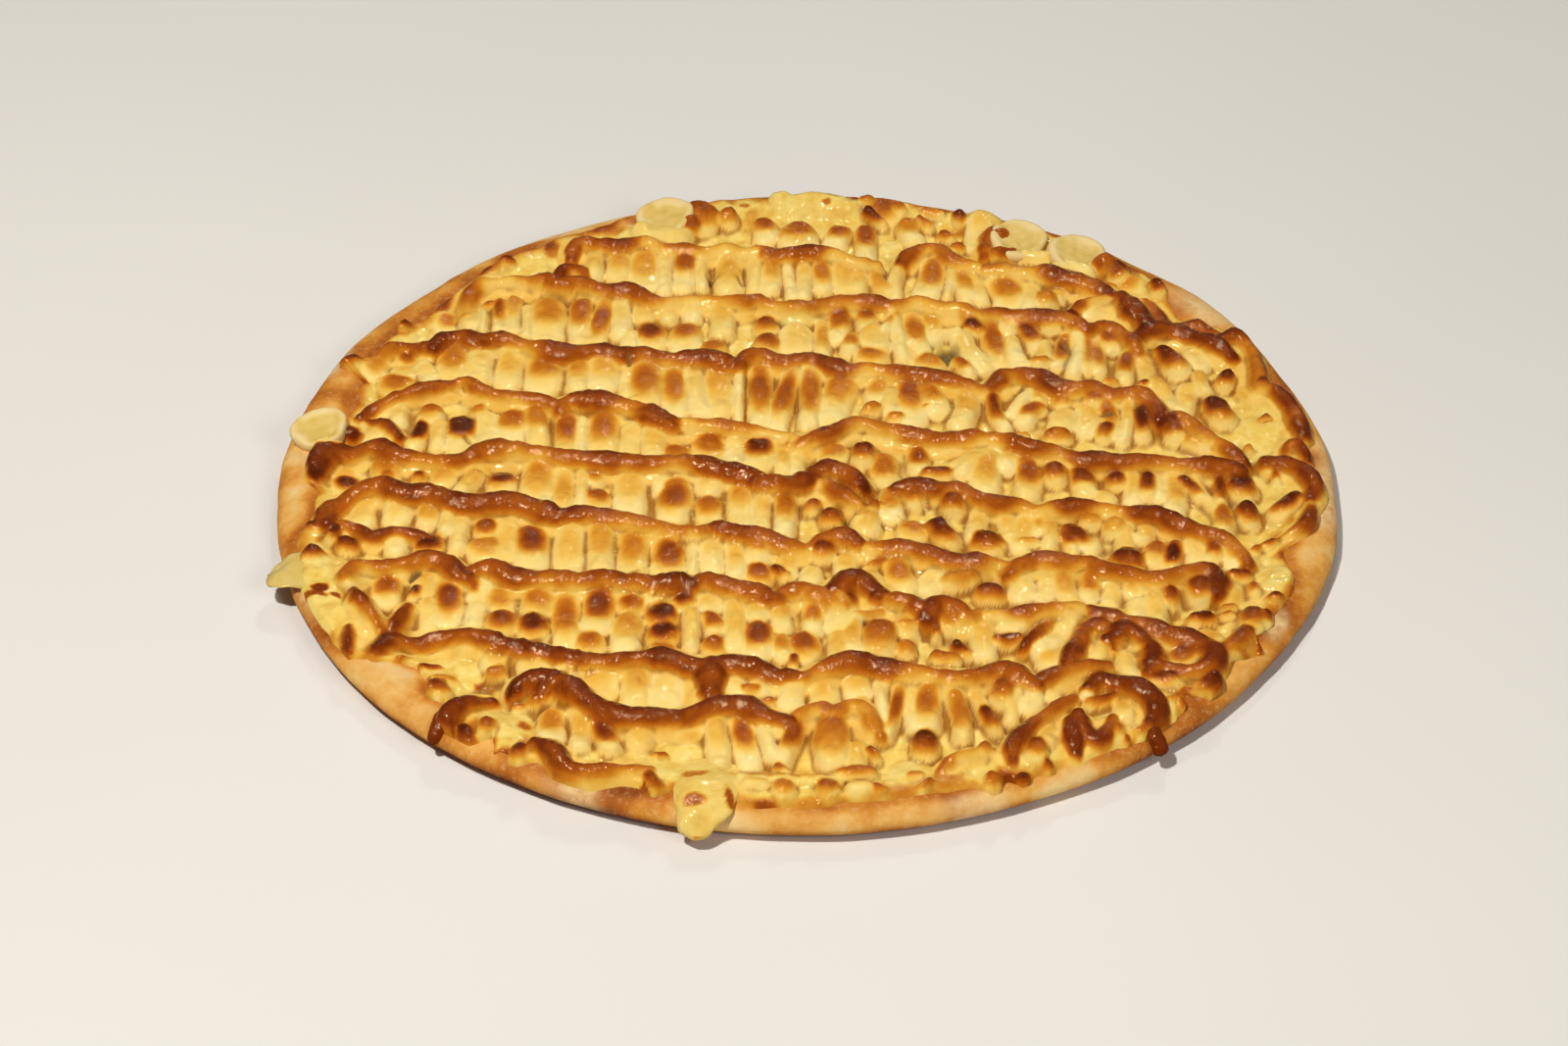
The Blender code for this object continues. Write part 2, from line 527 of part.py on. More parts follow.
def build():
    """Build the crust, the cheese and the slices."""
    for piece in list(bpy.data.objects):
        bpy.data.objects.remove(piece)
    parts = bpy.data.collections.new("pizza")
    tools = bpy.data.collections.new("cutters")
    piped = bpy.data.collections.new("piped")
    for collection in (parts, tools, piped):
        bpy.context.scene.collection.children.link(collection)

    crust = turned_crust("crust", parts)
    crust_space = turned_crust("crust_space", tools, CLEARANCE)

    cheese = boolean(melted_layer(parts), "INTERSECT", edge_cutter(tools))
    for radius, points in ROPES:
        rope(radius, points, piped)
    for x, y, length, width, turn in DROPS:
        drop(x, y, length, width, turn, piped)
    for start, end, first_width, last_width in RUNS:
        run(start, end, first_width, last_width, piped)
    cheese = melt_together(boolean(cheese, "UNION", piped))
    for piece in list(piped.objects):
        bpy.data.objects.remove(piece)
    bpy.data.collections.remove(piped)
    cheese = boolean(cheese, "DIFFERENCE", crust_space)

    palm = make_material("palm_heart", (0.80, 0.72, 0.42), 0.45)
    for name, place, radius, height, *tilts in SLICES:
        slab = slice_solid(name, place, radius, height, tilts, parts)
        slab = boolean(slab, "DIFFERENCE", crust_space)
        space = slice_solid("slice_space", place, radius + CLEARANCE, height + 2 * CLEARANCE,
                            tilts, tools)
        cheese = boolean(cheese, "DIFFERENCE", space)
        finish(slab, palm)
    keep_largest(cheese)

    finish(crust, make_material("crust", (0.62, 0.36, 0.13), 0.6))
    finish(cheese, make_material("cheese", (0.72, 0.45, 0.14), 0.35))
    for cutter in tools.objects:
        cutter.hide_render = True
        cutter.display_type = "WIRE"


build()
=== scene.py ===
"""Looks of the round pizza: crust, melted cheese, soft strips, browned ropes, runs and slices.

Values are metres and degrees, but the tables of what lies on the crust are millimetres, with x
to the right and y to the rear, and how dark, molten or grey a thing is comes there in percent.
The origin is the centre of the crust's flat underside, +Z is up.
"""
import math
import random

import bpy
import numpy as np
from mathutils import Euler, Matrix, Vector


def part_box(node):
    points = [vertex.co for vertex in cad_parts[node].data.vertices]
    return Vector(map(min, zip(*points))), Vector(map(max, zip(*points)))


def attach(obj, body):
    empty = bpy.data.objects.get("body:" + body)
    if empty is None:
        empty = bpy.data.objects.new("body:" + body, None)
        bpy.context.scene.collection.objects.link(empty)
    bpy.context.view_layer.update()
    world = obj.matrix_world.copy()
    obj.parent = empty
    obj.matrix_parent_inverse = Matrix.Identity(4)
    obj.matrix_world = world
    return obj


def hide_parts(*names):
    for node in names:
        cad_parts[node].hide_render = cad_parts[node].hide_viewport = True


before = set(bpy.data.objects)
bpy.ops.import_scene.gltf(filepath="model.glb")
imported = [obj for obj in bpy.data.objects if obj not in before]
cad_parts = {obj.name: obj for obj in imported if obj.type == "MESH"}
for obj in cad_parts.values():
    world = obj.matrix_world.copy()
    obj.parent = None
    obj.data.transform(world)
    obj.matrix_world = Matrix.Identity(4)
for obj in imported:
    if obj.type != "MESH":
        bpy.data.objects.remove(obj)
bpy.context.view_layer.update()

MM = 0.001
TINY = 1e-12

# Crust, as in the solids
CRUST_RADIUS = 0.175
BASE_HEIGHT = 0.004
RIM_HEIGHT = 0.0098
RIM_WIDTH = 0.026
EDGE_ROUND = 0.009
CREST_RADIUS = CRUST_RADIUS - EDGE_ROUND
COVERED_RADIUS = 0.140                      # up to here the dough lies under the melt and is smooth

# Melted layer and what is laid on it
MELT_EDGE_HEIGHT = 0.0012
MELT_HEIGHT = 0.0040
MELT_RUN = 0.025                            # how far in from its edge it has its full height
STRIP_HEIGHT = 0.0042
STRIP_FADE = (0.004, 0.016)                 # how far in from the edge the strips rise
FOOT_HEIGHT = 0.003                         # the layer is closed here, inside the dough
ROPE_BLEND = 0.0006                         # how softly a rope's side meets the layer
JOIN_GAP = 9.0                              # ropes of a row are joined below this, in mm

# How finely things are drawn
GRID = 600                                  # points along each side of the layer's grid
BANDS = 4
EDGE_TURNS = 2160                           # angles at which the layer's edge is worked out
CRUST_SIDES = 720
SLICE_SIDES = 56
RUN_SIDES = 48
CURVE_STEPS = 24

# The second mark is painted shade on the cheese and pale flour on the crust.
MARKS = ("brown", "painted_shade_and_flour", "melted", "hollow")      # attributes that the materials read
CELL_KEYS = np.array([73856093, 19349663, 83492791])
SEED_STEP = 0.0713                          # sideways step in the noise from one body to the next

# Lamps: name, place, size, power and colour
LAMPS = (
    ("key", (-0.52, -0.46, 1.5), 0.10, 20.5, (1.0, 0.95, 0.87)),
    ("back", (0.3, 1.2, 1.1), 0.35, 1.8, (1.0, 0.96, 0.90)),
    ("glint", (0.22, 1.3, 1.2), 0.06, 2.2, (1.0, 0.96, 0.90)),
    ("fill", (0.9, -1.1, 1.0), 0.6, 7.2, (1.0, 0.96, 0.90)),
)
CAMERA_AIM = (-0.0064, -0.0211, 0.0)
CAMERA_DISTANCE = 1.1909
CAMERA_ELEVATION = 38.5
FOCAL_LENGTH = 82.3                         # in mm, on a sensor of 36 mm

# Outlines seen from above, as angle from +X and radius. The crust's is as in the solids, and the
# melt reaches a little farther out than theirs at the left front.
CRUST_EDGE = (
    (0, 0.1775), (20, 0.1745), (32, 0.1745), (46, 0.1705), (75, 0.1655), (112, 0.1655), (140, 0.169),
    (160, 0.1735), (185, 0.1757), (205, 0.1772), (218, 0.1774), (245, 0.1762), (270, 0.1752),
    (292, 0.1746), (308, 0.1756), (321, 0.1762), (345, 0.1788), (360, 0.1775),
)
MELT_EDGE = (
    (0, 0.168), (10, 0.171), (16, 0.166), (23, 0.17), (28, 0.163), (34, 0.159), (40, 0.164),
    (60, 0.163), (72, 0.16), (92, 0.161), (112, 0.159), (133, 0.16), (146, 0.157), (155, 0.161),
    (168, 0.158), (178, 0.161), (190, 0.163), (195, 0.172), (206, 0.176), (212, 0.175), (217, 0.163),
    (221, 0.159), (226, 0.166), (232, 0.163), (244, 0.171), (253, 0.168), (268, 0.169), (284, 0.168),
    (308, 0.171), (321, 0.167), (336, 0.171), (344, 0.164), (353, 0.17), (360, 0.168),
)

# Rows of ropes from back to front: radius, how dark, then x and y of each point
ROWS = (
    (
        (3.4, 55, -83, 118, -82, 125, -78, 127, -71, 124, -63, 124, -56, 126, -49, 122, -42, 122,
         -35, 120, -27, 122, -21, 118.5, -15, 119, -11, 117, 0, 118, 7, 118, 12, 117, 18, 113, 27, 112),
        (3.2, 55, 36, 114, 39, 119, 45, 123, 50, 121, 54, 115, 61, 111),
        (4.6, 62, 66, 108, 71, 108, 82, 106, 94, 103, 106, 97, 109, 94),
    ),
    (
        (3.5, 52, -119, 83, -119, 90, -116, 99, -109, 103, -103, 103, -98, 101, -92, 103, -86, 99,
         -79, 100, -72, 96, -63, 96, -58, 93, -51, 88, -43, 90, -39, 91, -31, 90, -22, 88, -16, 90,
         -11, 87, 0, 84, 7, 87, 15, 88, 25, 88, 33, 86, 41, 88, 48, 85, 56, 84, 62, 81, 69, 82, 79, 80,
         86, 79, 93, 77, 98, 73, 100, 71),
        (3.2, 72, 101, 72, 106, 74, 111, 71, 117, 59),
    ),
    (
        (3.4, 80, -146, 59, -140, 64, -133, 63, -129, 60),
        (4.0, 88, -128, 61, -125, 66, -119, 67, -113, 64, -105, 66, -98, 63, -92, 60, -82, 57, -71, 59,
         -62, 56, -55, 57, -47, 54, -39, 54, -31, 54, -25, 51),
        (3.6, 72, -22, 51, -19, 55, -13, 56, -7, 53, 0, 54, 5, 54, 9, 51, 15, 48, 22, 48, 31, 47,
         39, 46, 47, 44, 55, 40, 62, 37),
        (4.0, 80, 64, 38, 69, 43, 76, 44, 82, 42, 88, 37, 94, 36, 99, 37, 106, 33, 113, 34, 118, 30,
         120, 25),
        (2.9, 60, 121, 19, 127, 21, 131, 17, 135, 11, 141, 4, 147, -3),
    ),
    (
        (3.0, 82, -150, 26, -146, 31, -139, 34, -131, 37, -122, 39, -116, 41, -111, 37, -103, 33,
         -95, 32, -88, 30, -84, 27),
        (4.6, 70, -82, 25, -80, 28, -73, 30, -65, 28, -58, 25, -52, 21, -48, 18, -44, 16),
        (3.4, 45, -45, 17, -35, 16, -27, 15, -18, 13, -9, 11, -3, 8.5),
        (3.9, 80, -4, 5, 3, 8, 9, 12, 15, 16, 21, 17, 27, 14, 35, 11, 45, 8.5, 54, 8.5, 63, 9, 69, 7,
         75, 4, 82, 2, 88, 0, 94, -3, 101, -3, 108, -4, 118, -4, 127, -6, 135, -7, 145, -9),
    ),
    (
        (3.8, 85, -162, -9, -161, 0, -156, 5, -151, 3, -143, 4, -136, 0, -128, -2, -119, -4),
        (4.3, 85, -114, -3, -111, -1, -105, 2, -95, 1.5, -87, 0, -79, -3, -71, -4, -58, -5, -51, -6,
         -42, -6, -35, -6, -27, -9, -18, -12, -13, -16, -6, -17, 0, -15),
        (3.8, 70, 3, -10, 9, -8, 15, -11, 19, -17),
        (3.8, 62, 2, -17, 7, -16, 13, -23, 18, -27),
        (3.5, 68, 31, -18, 38, -17, 44, -19, 51, -19, 56, -23, 63, -27, 71, -27, 76, -30, 82, -29,
         89, -28, 98, -29, 103, -31, 109, -33, 116, -33, 123, -39, 131, -43, 138, -47, 141, -52,
         143, -57),
    ),
    (
        (4.3, 85, -156, -37, -156, -30, -153, -24, -146, -18, -139, -18, -132, -22, -123, -22,
         -116, -26, -107, -28, -99, -27, -92, -28, -86, -31, -81, -34),
        (4.0, 75, -79, -34, -72, -33, -62, -35, -53, -38, -45, -40, -35, -43),
        (3.8, 76, -32, -41, -28, -40, -21, -43, -13, -45, -6, -48, -1, -50),
        (3.9, 78, 2, -50, 6, -46, 12, -44, 18, -48),
        (3.6, 50, 17, -48, 25, -50, 33, -50, 40, -52, 48, -56, 56, -57, 65, -60),
        (4.0, 80, 66, -63, 71, -58, 78, -56, 85, -58, 92, -58, 96, -62, 102, -63, 108, -65, 115, -66,
         122, -63, 129, -62, 133, -66, 132, -72),
    ),
    (
        (4.0, 86, -147, -66, -143, -61, -135, -60, -127, -58, -120, -56, -114, -59, -111, -64),
        (4.3, 88, -108, -65, -106, -62, -100, -61, -94, -65, -87, -66, -80, -66, -72, -67, -63, -66,
         -55, -67, -48, -69, -40, -68),
        (4.3, 78, -36, -69, -31, -67, -23, -71, -15, -73, -10, -76),
        (3.9, 62, -7, -73, -2, -71, 2, -72, 7, -76, 12, -80),
        (5.3, 98, 10, -72, 14, -68, 18, -67, 21, -71, 25, -75),
        (3.8, 72, 24, -75, 29, -77, 34, -78),
        (4.3, 75, 39, -85, 42, -80, 47, -80, 52, -85),
        (3.4, 50, 55, -83, 62, -84, 68, -83, 75, -82, 83, -81, 90, -81),
        (3.9, 92, 91, -81, 97, -83, 102, -87, 108, -88, 115, -93, 122, -95, 127, -101, 128, -106,
         124, -110, 117, -110, 112, -108, 107, -110),
    ),
    (
        (3.9, 95, -133, -99, -129, -94, -121, -94, -112, -93, -105, -94, -99, -96, -92, -99, -82, -101,
         -72, -105, -61, -107, -52, -105, -43, -105, -35, -109, -29, -109, -22, -108, -14, -110,
         -8, -113),
        (4.3, 80, 0, -114, 5, -111, 12, -108, 20, -108, 29, -111, 39, -113, 49, -114, 56, -112,
         62, -110, 67, -114),
        (3.4, 65, 71, -117, 76, -113, 85, -110, 94, -108),
    ),
    (
        (4.3, 98, -89, -118, -87, -116, -79, -116, -72, -120, -67, -125, -61, -130, -55, -133,
         -47, -133, -39, -133, -32, -130, -25, -127, -18, -127, -13, -131),
        (3.4, 66, -5, -134, 0, -130, 5, -128, 9, -130, 15, -127, 19, -130, 21, -136, 23, -140),
    ),
)

# Ropes that follow no row: hooks, loops and stray runs
STRAYS = (
    (5.6, 97, -29.5, -108, -29, -116, -29, -121),
    (3.6, 98, 96, -95, 101, -91, 106, -95, 109, -100, 108, -106),
    (3.3, 76, 82, -106, 86, -97, 88, -91, 92, -88, 96, -90),
    (2.2, 66, 69, -98, 73, -93, 78, -87),
    (3.3, 86, -82, -143, -76, -148, -73, -154, -66, -157, -56, -156, -47, -155),
    (3.7, 98, -97, -121, -102, -123, -107, -128, -110, -134, -111.5, -142),
    (3.1, 82, 82.5, -123, 78, -127, 73, -132, 68, -137, 65, -141, 62.5, -147, 62.5, -152),
    (3.7, 98, 88, -118, 92, -115, 98, -117, 104, -121, 107.5, -126, 108, -131, 106, -134),
    (2.9, 98, 81, -134, 81.5, -141, 82, -147),
    (3.0, 90, 83.5, -131, 85, -138, 89, -142, 92.5, -138, 94, -133),
    (2.7, 62, 96, 84, 100, 88, 105, 90, 111, 92),
    (5.6, 94, 113.5, 92, 117, 85, 121, 76),
    (2.5, 66, 122, 94, 126, 87, 129, 80, 133, 77, 138, 77, 143, 71, 147, 67),
    (3.9, 96, 117, 67, 121, 71, 128, 74, 135, 71, 140, 66, 145, 61, 149, 56),
    (3.5, 74, 147, 66, 152, 67, 156, 60, 157, 53, 157, 45, 156, 38, 162, 34, 166, 27, 167.5, 19,
     168.5, 11),
    (2.2, 78, 161, 1, 163, 6, 166, 6, 168, 1, 168.5, -3),
    (3.8, 97, 155, -2, 160, -3, 165.5, -8, 168.5, -13, 169, -19, 167, -24),
    (2.6, 62, 167, -24, 166, -32, 163, -38, 157, -41),
    (2.7, 90, -152, -36, -145, -40, -140, -44, -133, -41, -127, -42, -121, -44),
    (2.6, 94, -150, 25, -146, 22, -141, 18, -136, 11),
    (2.8, 78, -143, -74, -139, -81, -133, -91),
    (2.7, 97, -126, -79, -128, -85, -130, -91),
    (2.3, 86, -144, -89, -143, -100),
    (2.6, 88, -87, 104, -86, 109, -82, 111, -78, 108, -77, 104),
    (2.7, 66, 66, 119, 67, 127, 70, 133, 75, 135),
    (2.6, 50, 41, -155, 45, -151, 50, -149, 54, -147),
)

# Soft strips between the ropes: x, y of the rear end, y of the front end, width, how dark, and
# if need be where it is brown in percent of its length and how far its front end is shifted in x
STRIPS = (
    # behind and in front of the first row
    (-75, 124, 104, 7, 10, 50, 1), (-66, 126, 104, 9, 22), (-57, 126, 97, 11, 30, 40, 2),
    (-49, 124, 95, 6, 5), (-42, 122, 96, 8, 55, 15), (-36, 118, 98, 5, 10), (-26, 124, 96, 10, 25, 60),
    (-17, 120, 97, 6, 5), (-11, 122, 96, 8, 28, 40), (-5, 118, 91, 4.5, 0, 50, 1),
    (1, 118, 90, 6, 12, 30, -1), (7, 119, 96, 7.5, 45), (15, 117, 96, 8, 12),
    (-14, 146, 128, 9, 50, 10, 1), (-1, 143, 123, 14, 45, 5), (15, 142, 124, 9, 60, 20, -4),
    # second space
    (-125, 88, 74, 8, 40, 20), (-117, 88, 74, 8, 10), (-113, 88, 72, 4, 0, 50, 1),
    (-107, 94, 72, 5, 50, 35), (-102, 96, 70, 6, 25, 20), (-97, 90, 68, 4, 0),
    (-90, 96, 65, 12.5, 35, 30), (-78, 94, 64, 8, 50, 25), (-69, 94, 64, 8, 48, 55, -3),
    (-64, 94, 68, 8, 8), (-60.5, 75, 62, 7, 0), (-56, 92, 78, 8, 10),
    (-53.5, 80, 62, 11.5, 60, 15, 0.5), (-47, 93, 78, 7, 8), (-41, 80, 60, 11, 42, 12),
    (-39, 92, 78, 7, 5), (-29, 94, 68, 9.5, 12, 50, 1), (-31, 68, 58, 10, 45, 20),
    (-13, 83, 71, 9, 60, 35), (-12.5, 72, 58, 9, 48, 30), (-1, 94, 78, 14, 5),
    (-2, 79, 58, 12, 0, 50, -1), (7, 82, 56, 6, 32, 60), (13, 90, 65, 8, 58, 35, -0.5),
    (17, 73, 58, 6.5, 48),
    # third space
    (-148, 62, 46, 8, 35, 40), (-137, 64, 54, 8, 55, 40), (-138, 57, 45, 9, 20),
    (-140, 49, 41, 12, 42, 25), (-133, 57, 42, 7, 10, 50, 6), (-122, 68, 42, 10.5, 32, 40, 1),
    (-112, 64, 40, 9, 5, 50, 1), (-101, 66, 38, 10.5, 20), (-90, 63, 36, 12, 45, 45),
    (-78, 62, 36, 8.5, 30, 40), (-69, 62, 36, 12.5, 22, 40, 1), (-61, 54, 34, 4.5, 0),
    (-55, 62, 28, 12, 48, 60, 1), (-46, 58, 22, 9, 52, 50, 4), (-39, 58, 23, 7.5, 8, 50, 4),
    (-29, 60, 22, 10.5, 15), (-22, 50, 20, 4, 0), (-15, 58, 16, 8.5, 62, 50, 1),
    (-4, 52, 14, 7, 58, 50, -5), (4, 54, 14, 7.5, 52, 50, -3), (14, 48, 16, 12, 30, 10, -6),
    # fourth space
    (-144, 38, 24, 11, 5), (-137, 32, 18, 6, 10, 50, -1), (-146, 27, 8, 9, 18, 50, 1),
    (-153.5, 22, 8, 8.5, 85, 10, -0.5), (-126.5, 31, 18, 9.5, 45, 10), (-128, 23, 6, 6.5, 92, 50, -4),
    (-123.5, 22, 4, 6, 10, 50, 0.5), (-115.5, 25, 2, 9.5, 95, 12, -0.5), (-112, 31, 24, 6, 42, 40, 3),
    (-107, 28, 6, 8, 5), (-98.5, 28, 6, 11, 50, 10, -1.5), (-91, 30, 6, 9, 36, 25, 2),
    (-80, 28, 0, 8.5, 48, 45), (-74.5, 24, 0, 5, 0), (-67.5, 28, 0, 11, 34, 45), (-58, 20, 0, 7.5, 5),
    (-50.5, 19, -2, 9, 8, 50, 0.5), (-43, 8, -3, 10.5, 42, 15), (-31, 18, -4, 12, 52, 45),
    (-23, 15, -6, 6, 0), (-14.5, 13, -8, 10.5, 75, 12, -0.5), (-7, 13, -10, 6, 20),
    (-2, 6, -11, 5, 12), (10.5, 8, -2, 11, 45, 15),
    # fifth space
    (-156, 6, -1, 8, 82, 30), (-153, 1, -10, 9, 12), (-140, 2, -10, 12, 38, 30, 2),
    (-139, -6, -11, 5, 60, 40), (-152, -7, -15, 10, 82, 25), (-128, -7, -12, 5, 62, 40),
    (-119, -4, -16, 9, 15, 50, -1), (-107, -6, -20, 6.5, 12, 50, -8), (-100, -6, -21, 10.5, 72, 10),
    (-88.5, 2, -30, 11, 26, 40, 0.5), (-79.5, -2, -30, 7.5, 34, 70), (-73.5, -6, -28, 5, 5),
    (-69, -5, -15, 7.5, 46, 40), (-68.5, -15, -30, 9.5, 50, 12), (-57, -4, -34, 11.5, 24, 35),
    (-47, -8, -20, 6, 5), (-42.5, -10, -36, 11, 62, 48, -0.5), (-31.5, -8, -20, 9.5, 8),
    (-33, -19, -38, 8.5, 42, 15, 4), (-20.5, -10, -40, 8.5, 24, 15), (-14, -20, -40, 6, 5),
    (-6, -12, -44, 7.5, 56, 42),
    # sixth space
    (-145, -20, -37, 9, 5), (-134, -22, -36, 9, 12), (-124, -24, -38, 7.5, 32, 50, 1),
    (-117, -26, -42, 5, 5), (-112, -26, -52, 6.5, 0), (-133, -38, -52, 8, 10, 50, 1),
    (-122, -40, -52, 10, 92, 12), (-104, -32, -42, 9, 70, 25), (-97, -30, -56, 8, 8),
    (-103.5, -41, -55, 12, 42, 20, -0.5), (-89, -34, -61, 11.5, 60, 30, 1),
    (-76, -34, -62, 9.5, 16, 60), (-66, -34, -62, 9, 20, 30), (-55.5, -36, -64, 10.5, 30, 45, -0.5),
    (-44, -38, -65, 11.5, 68, 50, 0.5), (-36, -42, -62, 4, 0), (-29.5, -38, -62, 8, 14, 30, -0.5),
    (-22, -42, -64, 7, 16), (-15, -38, -58, 9, 64, 20, 0.5), (-14.5, -55, -66, 9, 46, 35),
    (-5, -48, -64, 7, 18), (3, -56, -68, 8, 5, 50, -1), (14, -50, -64, 8, 12, 50, -1),
    # seventh space
    (-145, -62, -71, 6, 25), (-134, -60, -78, 8.5, 52, 35, 0.5), (-121, -58, -74, 8, 8, 50, -1),
    (-120, -72, -90, 6.5, 0, 50, 1), (-113.5, -60, -88, 9, 68, 50, 0.5),
    (-106, -62, -76, 6, 60, 40, 1), (-102, -62, -90, 7, 10, 50, -3), (-97, -66, -81, 10, 42, 65),
    (-96.5, -79, -91, 10, 58, 40, 0.5), (-85, -66, -82, 10.5, 48, 70),
    (-86, -80, -96, 10, 66, 35, 0.5), (-76, -66, -98, 8.5, 52, 55, 1),
    (-65.5, -66, -91, 10, 64, 45, -0.5), (-68, -89, -102, 9.5, 46, 35, 0.5), (-54, -62, -73, 8, 10),
    (-55, -71, -80, 10, 56, 30), (-56, -79, -102, 10, 30, 35), (-45, -76, -87, 10.5, 86, 15),
    (-44.5, -85, -96, 10.5, 78, 12), (-44, -94, -103, 10, 32, 30), (-39, -69, -81, 8, 72, 25, 0.5),
    (-48, -70, -77, 6, 5, 50, -1), (-36, -78, -100, 6, 0), (-30, -70, -82, 8.5, 10),
    (-31, -80, -92, 7.5, 60, 40, 5), (-28.5, -91, -102, 8.5, 50, 35, 0.5),
    (-22, -72, -100, 7.5, 14, 50, 0.5), (-15, -72, -86, 8, 22), (-14.5, -84, -104, 9.5, 64, 40, 0.5),
    (-7, -74, -91, 6.5, 20, 30), (-8, -90, -104, 6, 38, 40, 2), (3, -74, -92, 7, 50, 40),
    (0, -89, -104, 10, 56, 30, -1), (12, -76, -92, 12, 2), (11, -88, -106, 7, 12),
    # eighth space and front left
    (-96, -94, -109, 10, 26), (-85, -96, -111, 10.5, 14, 50, 0.5), (-75, -98, -114, 8, 6, 50, 1),
    (-64, -100, -124, 12, 5), (-53, -100, -128, 9.5, 20, 40, 1), (-43, -100, -128, 11, 2, 50, 1),
    (-22, -104, -124, 9, 10), (-14, -106, -122, 7, 15), (-78, -124, -144, 9, 36, 45, 1),
    (-69, -124, -148, 6.5, 20, 50, 1), (-64.5, -130, -149, 6.5, 68, 50, 6.5),
    (-51, -130, -146, 9, 10, 50, 1), (-28, -126, -154, 7.5, 14, 40, 2),
    (-20.5, -128, -154, 8, 58, 40, 4.5), (-15, -128, -150, 5.5, 6, 50, 6),
    (-1.5, -131, -153, 6, 62, 35, -6.5),
    # right half, back
    (23, 92, 72, 8, 50, 40), (34, 84, 69, 5, 36, 25, -7), (26, 78, 58, 11, 14, 30),
    (33.5, 86, 54, 5.5, 0), (24, 63, 55, 12, 42, 20), (39.5, 88, 58, 7.5, 52, 50, -0.5),
    (45.5, 90, 66, 6.5, 24, 30, -0.5), (44, 60, 50, 10.5, 42, 15), (37, 70, 54, 6, 5),
    (54, 60, 46, 5.5, 52, 40, 3.5), (57, 76, 48, 7.5, 8, 50, 5), (67.5, 84, 50, 7.5, 44),
    (73, 84, 70, 6, 6, 50, -1), (74.5, 72, 50, 5.5, 0, 50, 0.5), (77, 82, 60, 7, 66, 40, 5),
    (83, 68, 50, 6, 8), (90, 72, 50, 6, 64), (95.5, 74, 46, 5, 0, 50, -0.5), (99, 76, 48, 6, 42, 60),
    (101, 72, 48, 6.5, 48, 65, 4), (107.5, 75, 60, 8.5, 56, 35), (112.5, 62, 42, 6, 50, 35, -0.5),
    (118, 66, 38, 6, 12), (137.5, 68, 50, 8.5, 5, 50, -0.5), (123.5, 48, 26, 7.5, 10, 50, -0.5),
    (131, 44, 24, 7, 16, 60), (137.5, 50, 34, 6.5, 5, 50, 0.5), (26, 46, 30, 8, 32, 40),
    (36.5, 48, 18, 9.5, 52, 35, 0.5), (30.5, 40, 22, 6, 12, 50, -0.5),
    (41.5, 44, 24, 8.5, 38, 40, 5.5), (60, 38, 16, 8.5, 18, 30, -10), (67, 42, 14, 6.5, 70, 50, -0.5),
    (77, 40, 22, 5, 5, 50, -6), (81, 44, 28, 6.5, 26, 40, -1), (82, 32, 18, 8.5, 62, 40, -9),
    (88.5, 30, 14, 8, 10, 50, -0.5), (96, 32, 12, 7, 14, 50, 1), (104, 34, 10, 7, 34, 40, -1),
    (109.5, 34, 8, 6, 12, 50, -0.5),
    # back right edge and the space before the second row
    (30, 158, 142, 12, 52, 8), (23.5, 141, 114, 7.5, 52, 25, -0.5), (40, 144, 126, 9, 38, 8),
    (66, 148, 122, 10, 2, 50, -1), (46, 120, 92, 9.5, 50, 45, -0.5), (57.5, 114, 90, 6.5, 42, 50, 0.5),
    (62.5, 112, 90, 5, 5, 50, 0.5), (53, 116, 92, 4.5, 0), (34.5, 120, 92, 6, 0),
    (26, 114, 94, 5.5, 30, 50, 5), (20, 112, 96, 8, 4), (73, 108, 86, 10, 42, 40),
    (82, 106, 84, 7.5, 16), (91, 104, 90, 6, 16), (73.5, 142, 127, 7, 36, 50, -0.5),
    (102, 96, 80, 9, 10, 50, 1), (118, 108, 97, 9, 34, 50, -1),
    # right half, between the fourth and sixth rows
    (28, 4, -16, 9, 44, 50, -0.5), (36, 8, -8, 7.5, 62, 45, 5), (57, 8, -10, 6, 5, 50, -10),
    (60, 6, -12, 5.5, 10, 50, -7), (63, 10, -20, 11.5, 30, 65, -2), (69, 8, -8, 7, 22, 30, -1),
    (74.5, 2, -22, 7.5, 56, 40), (94, -4, -22, 8, 64, 25, -1.5), (29, -14, -34, 7.5, 46, 40),
    (21, -28, -42, 9, 28, 40), (35, -32, -46, 8, 34, 30, 1), (56.5, -26, -46, 8, 10, 50, 0.5),
    (66, -28, -46, 7, 6), (72, -30, -50, 8, 8, 50, -1), (77.5, -28, -42, 6.5, 46, 30, -0.5),
    (86, -34, -51, 7.5, 72, 40, 8), (83, -38, -51, 5, 62, 45, 5.5), (80, -30, -50, 6, 10, 50, -1),
    (107, -34, -54, 6.5, 8, 50, -3), (122.5, -6, -32, 7.5, 28), (132.5, -8, -30, 5, 5, 50, 1.5),
    (137, -24, -42, 7.5, 32, 40), (117, -8, -24, 5, 5, 50, 1), (110, -6, -26, 6, 10, 50, -2),
    (100, -16, -26, 7, 10, 50, -1), (146, -8, -22, 10, 80, 20), (113, -36, -46, 6, 26, 40, -5),
    # right half, between the sixth and eighth rows
    (29, -52, -72, 9, 46, 40, 5), (21, -58, -70, 8, 12, 30), (42, -58, -72, 9, 5, 50, -2),
    (70, -62, -76, 8.5, 0), (77, -62, -78, 6, 5), (84, -58, -79, 8.5, 20, 40), (91, -58, -76, 6.5, 46),
    (98.5, -62, -80, 6, 10, 50, -0.5), (105, -60, -74, 8.5, 36, 40), (114, -44, -58, 7, 42, 30, -0.5),
    (121.5, -44, -60, 5.8, 88, 50, -4.5), (126.5, -42, -58, 7.5, 10, 50, 0.5),
    (138, -44, -60, 5.5, 20, 40), (106, -72, -86, 7, 0), (112, -68, -88, 6, 10, 50, -1),
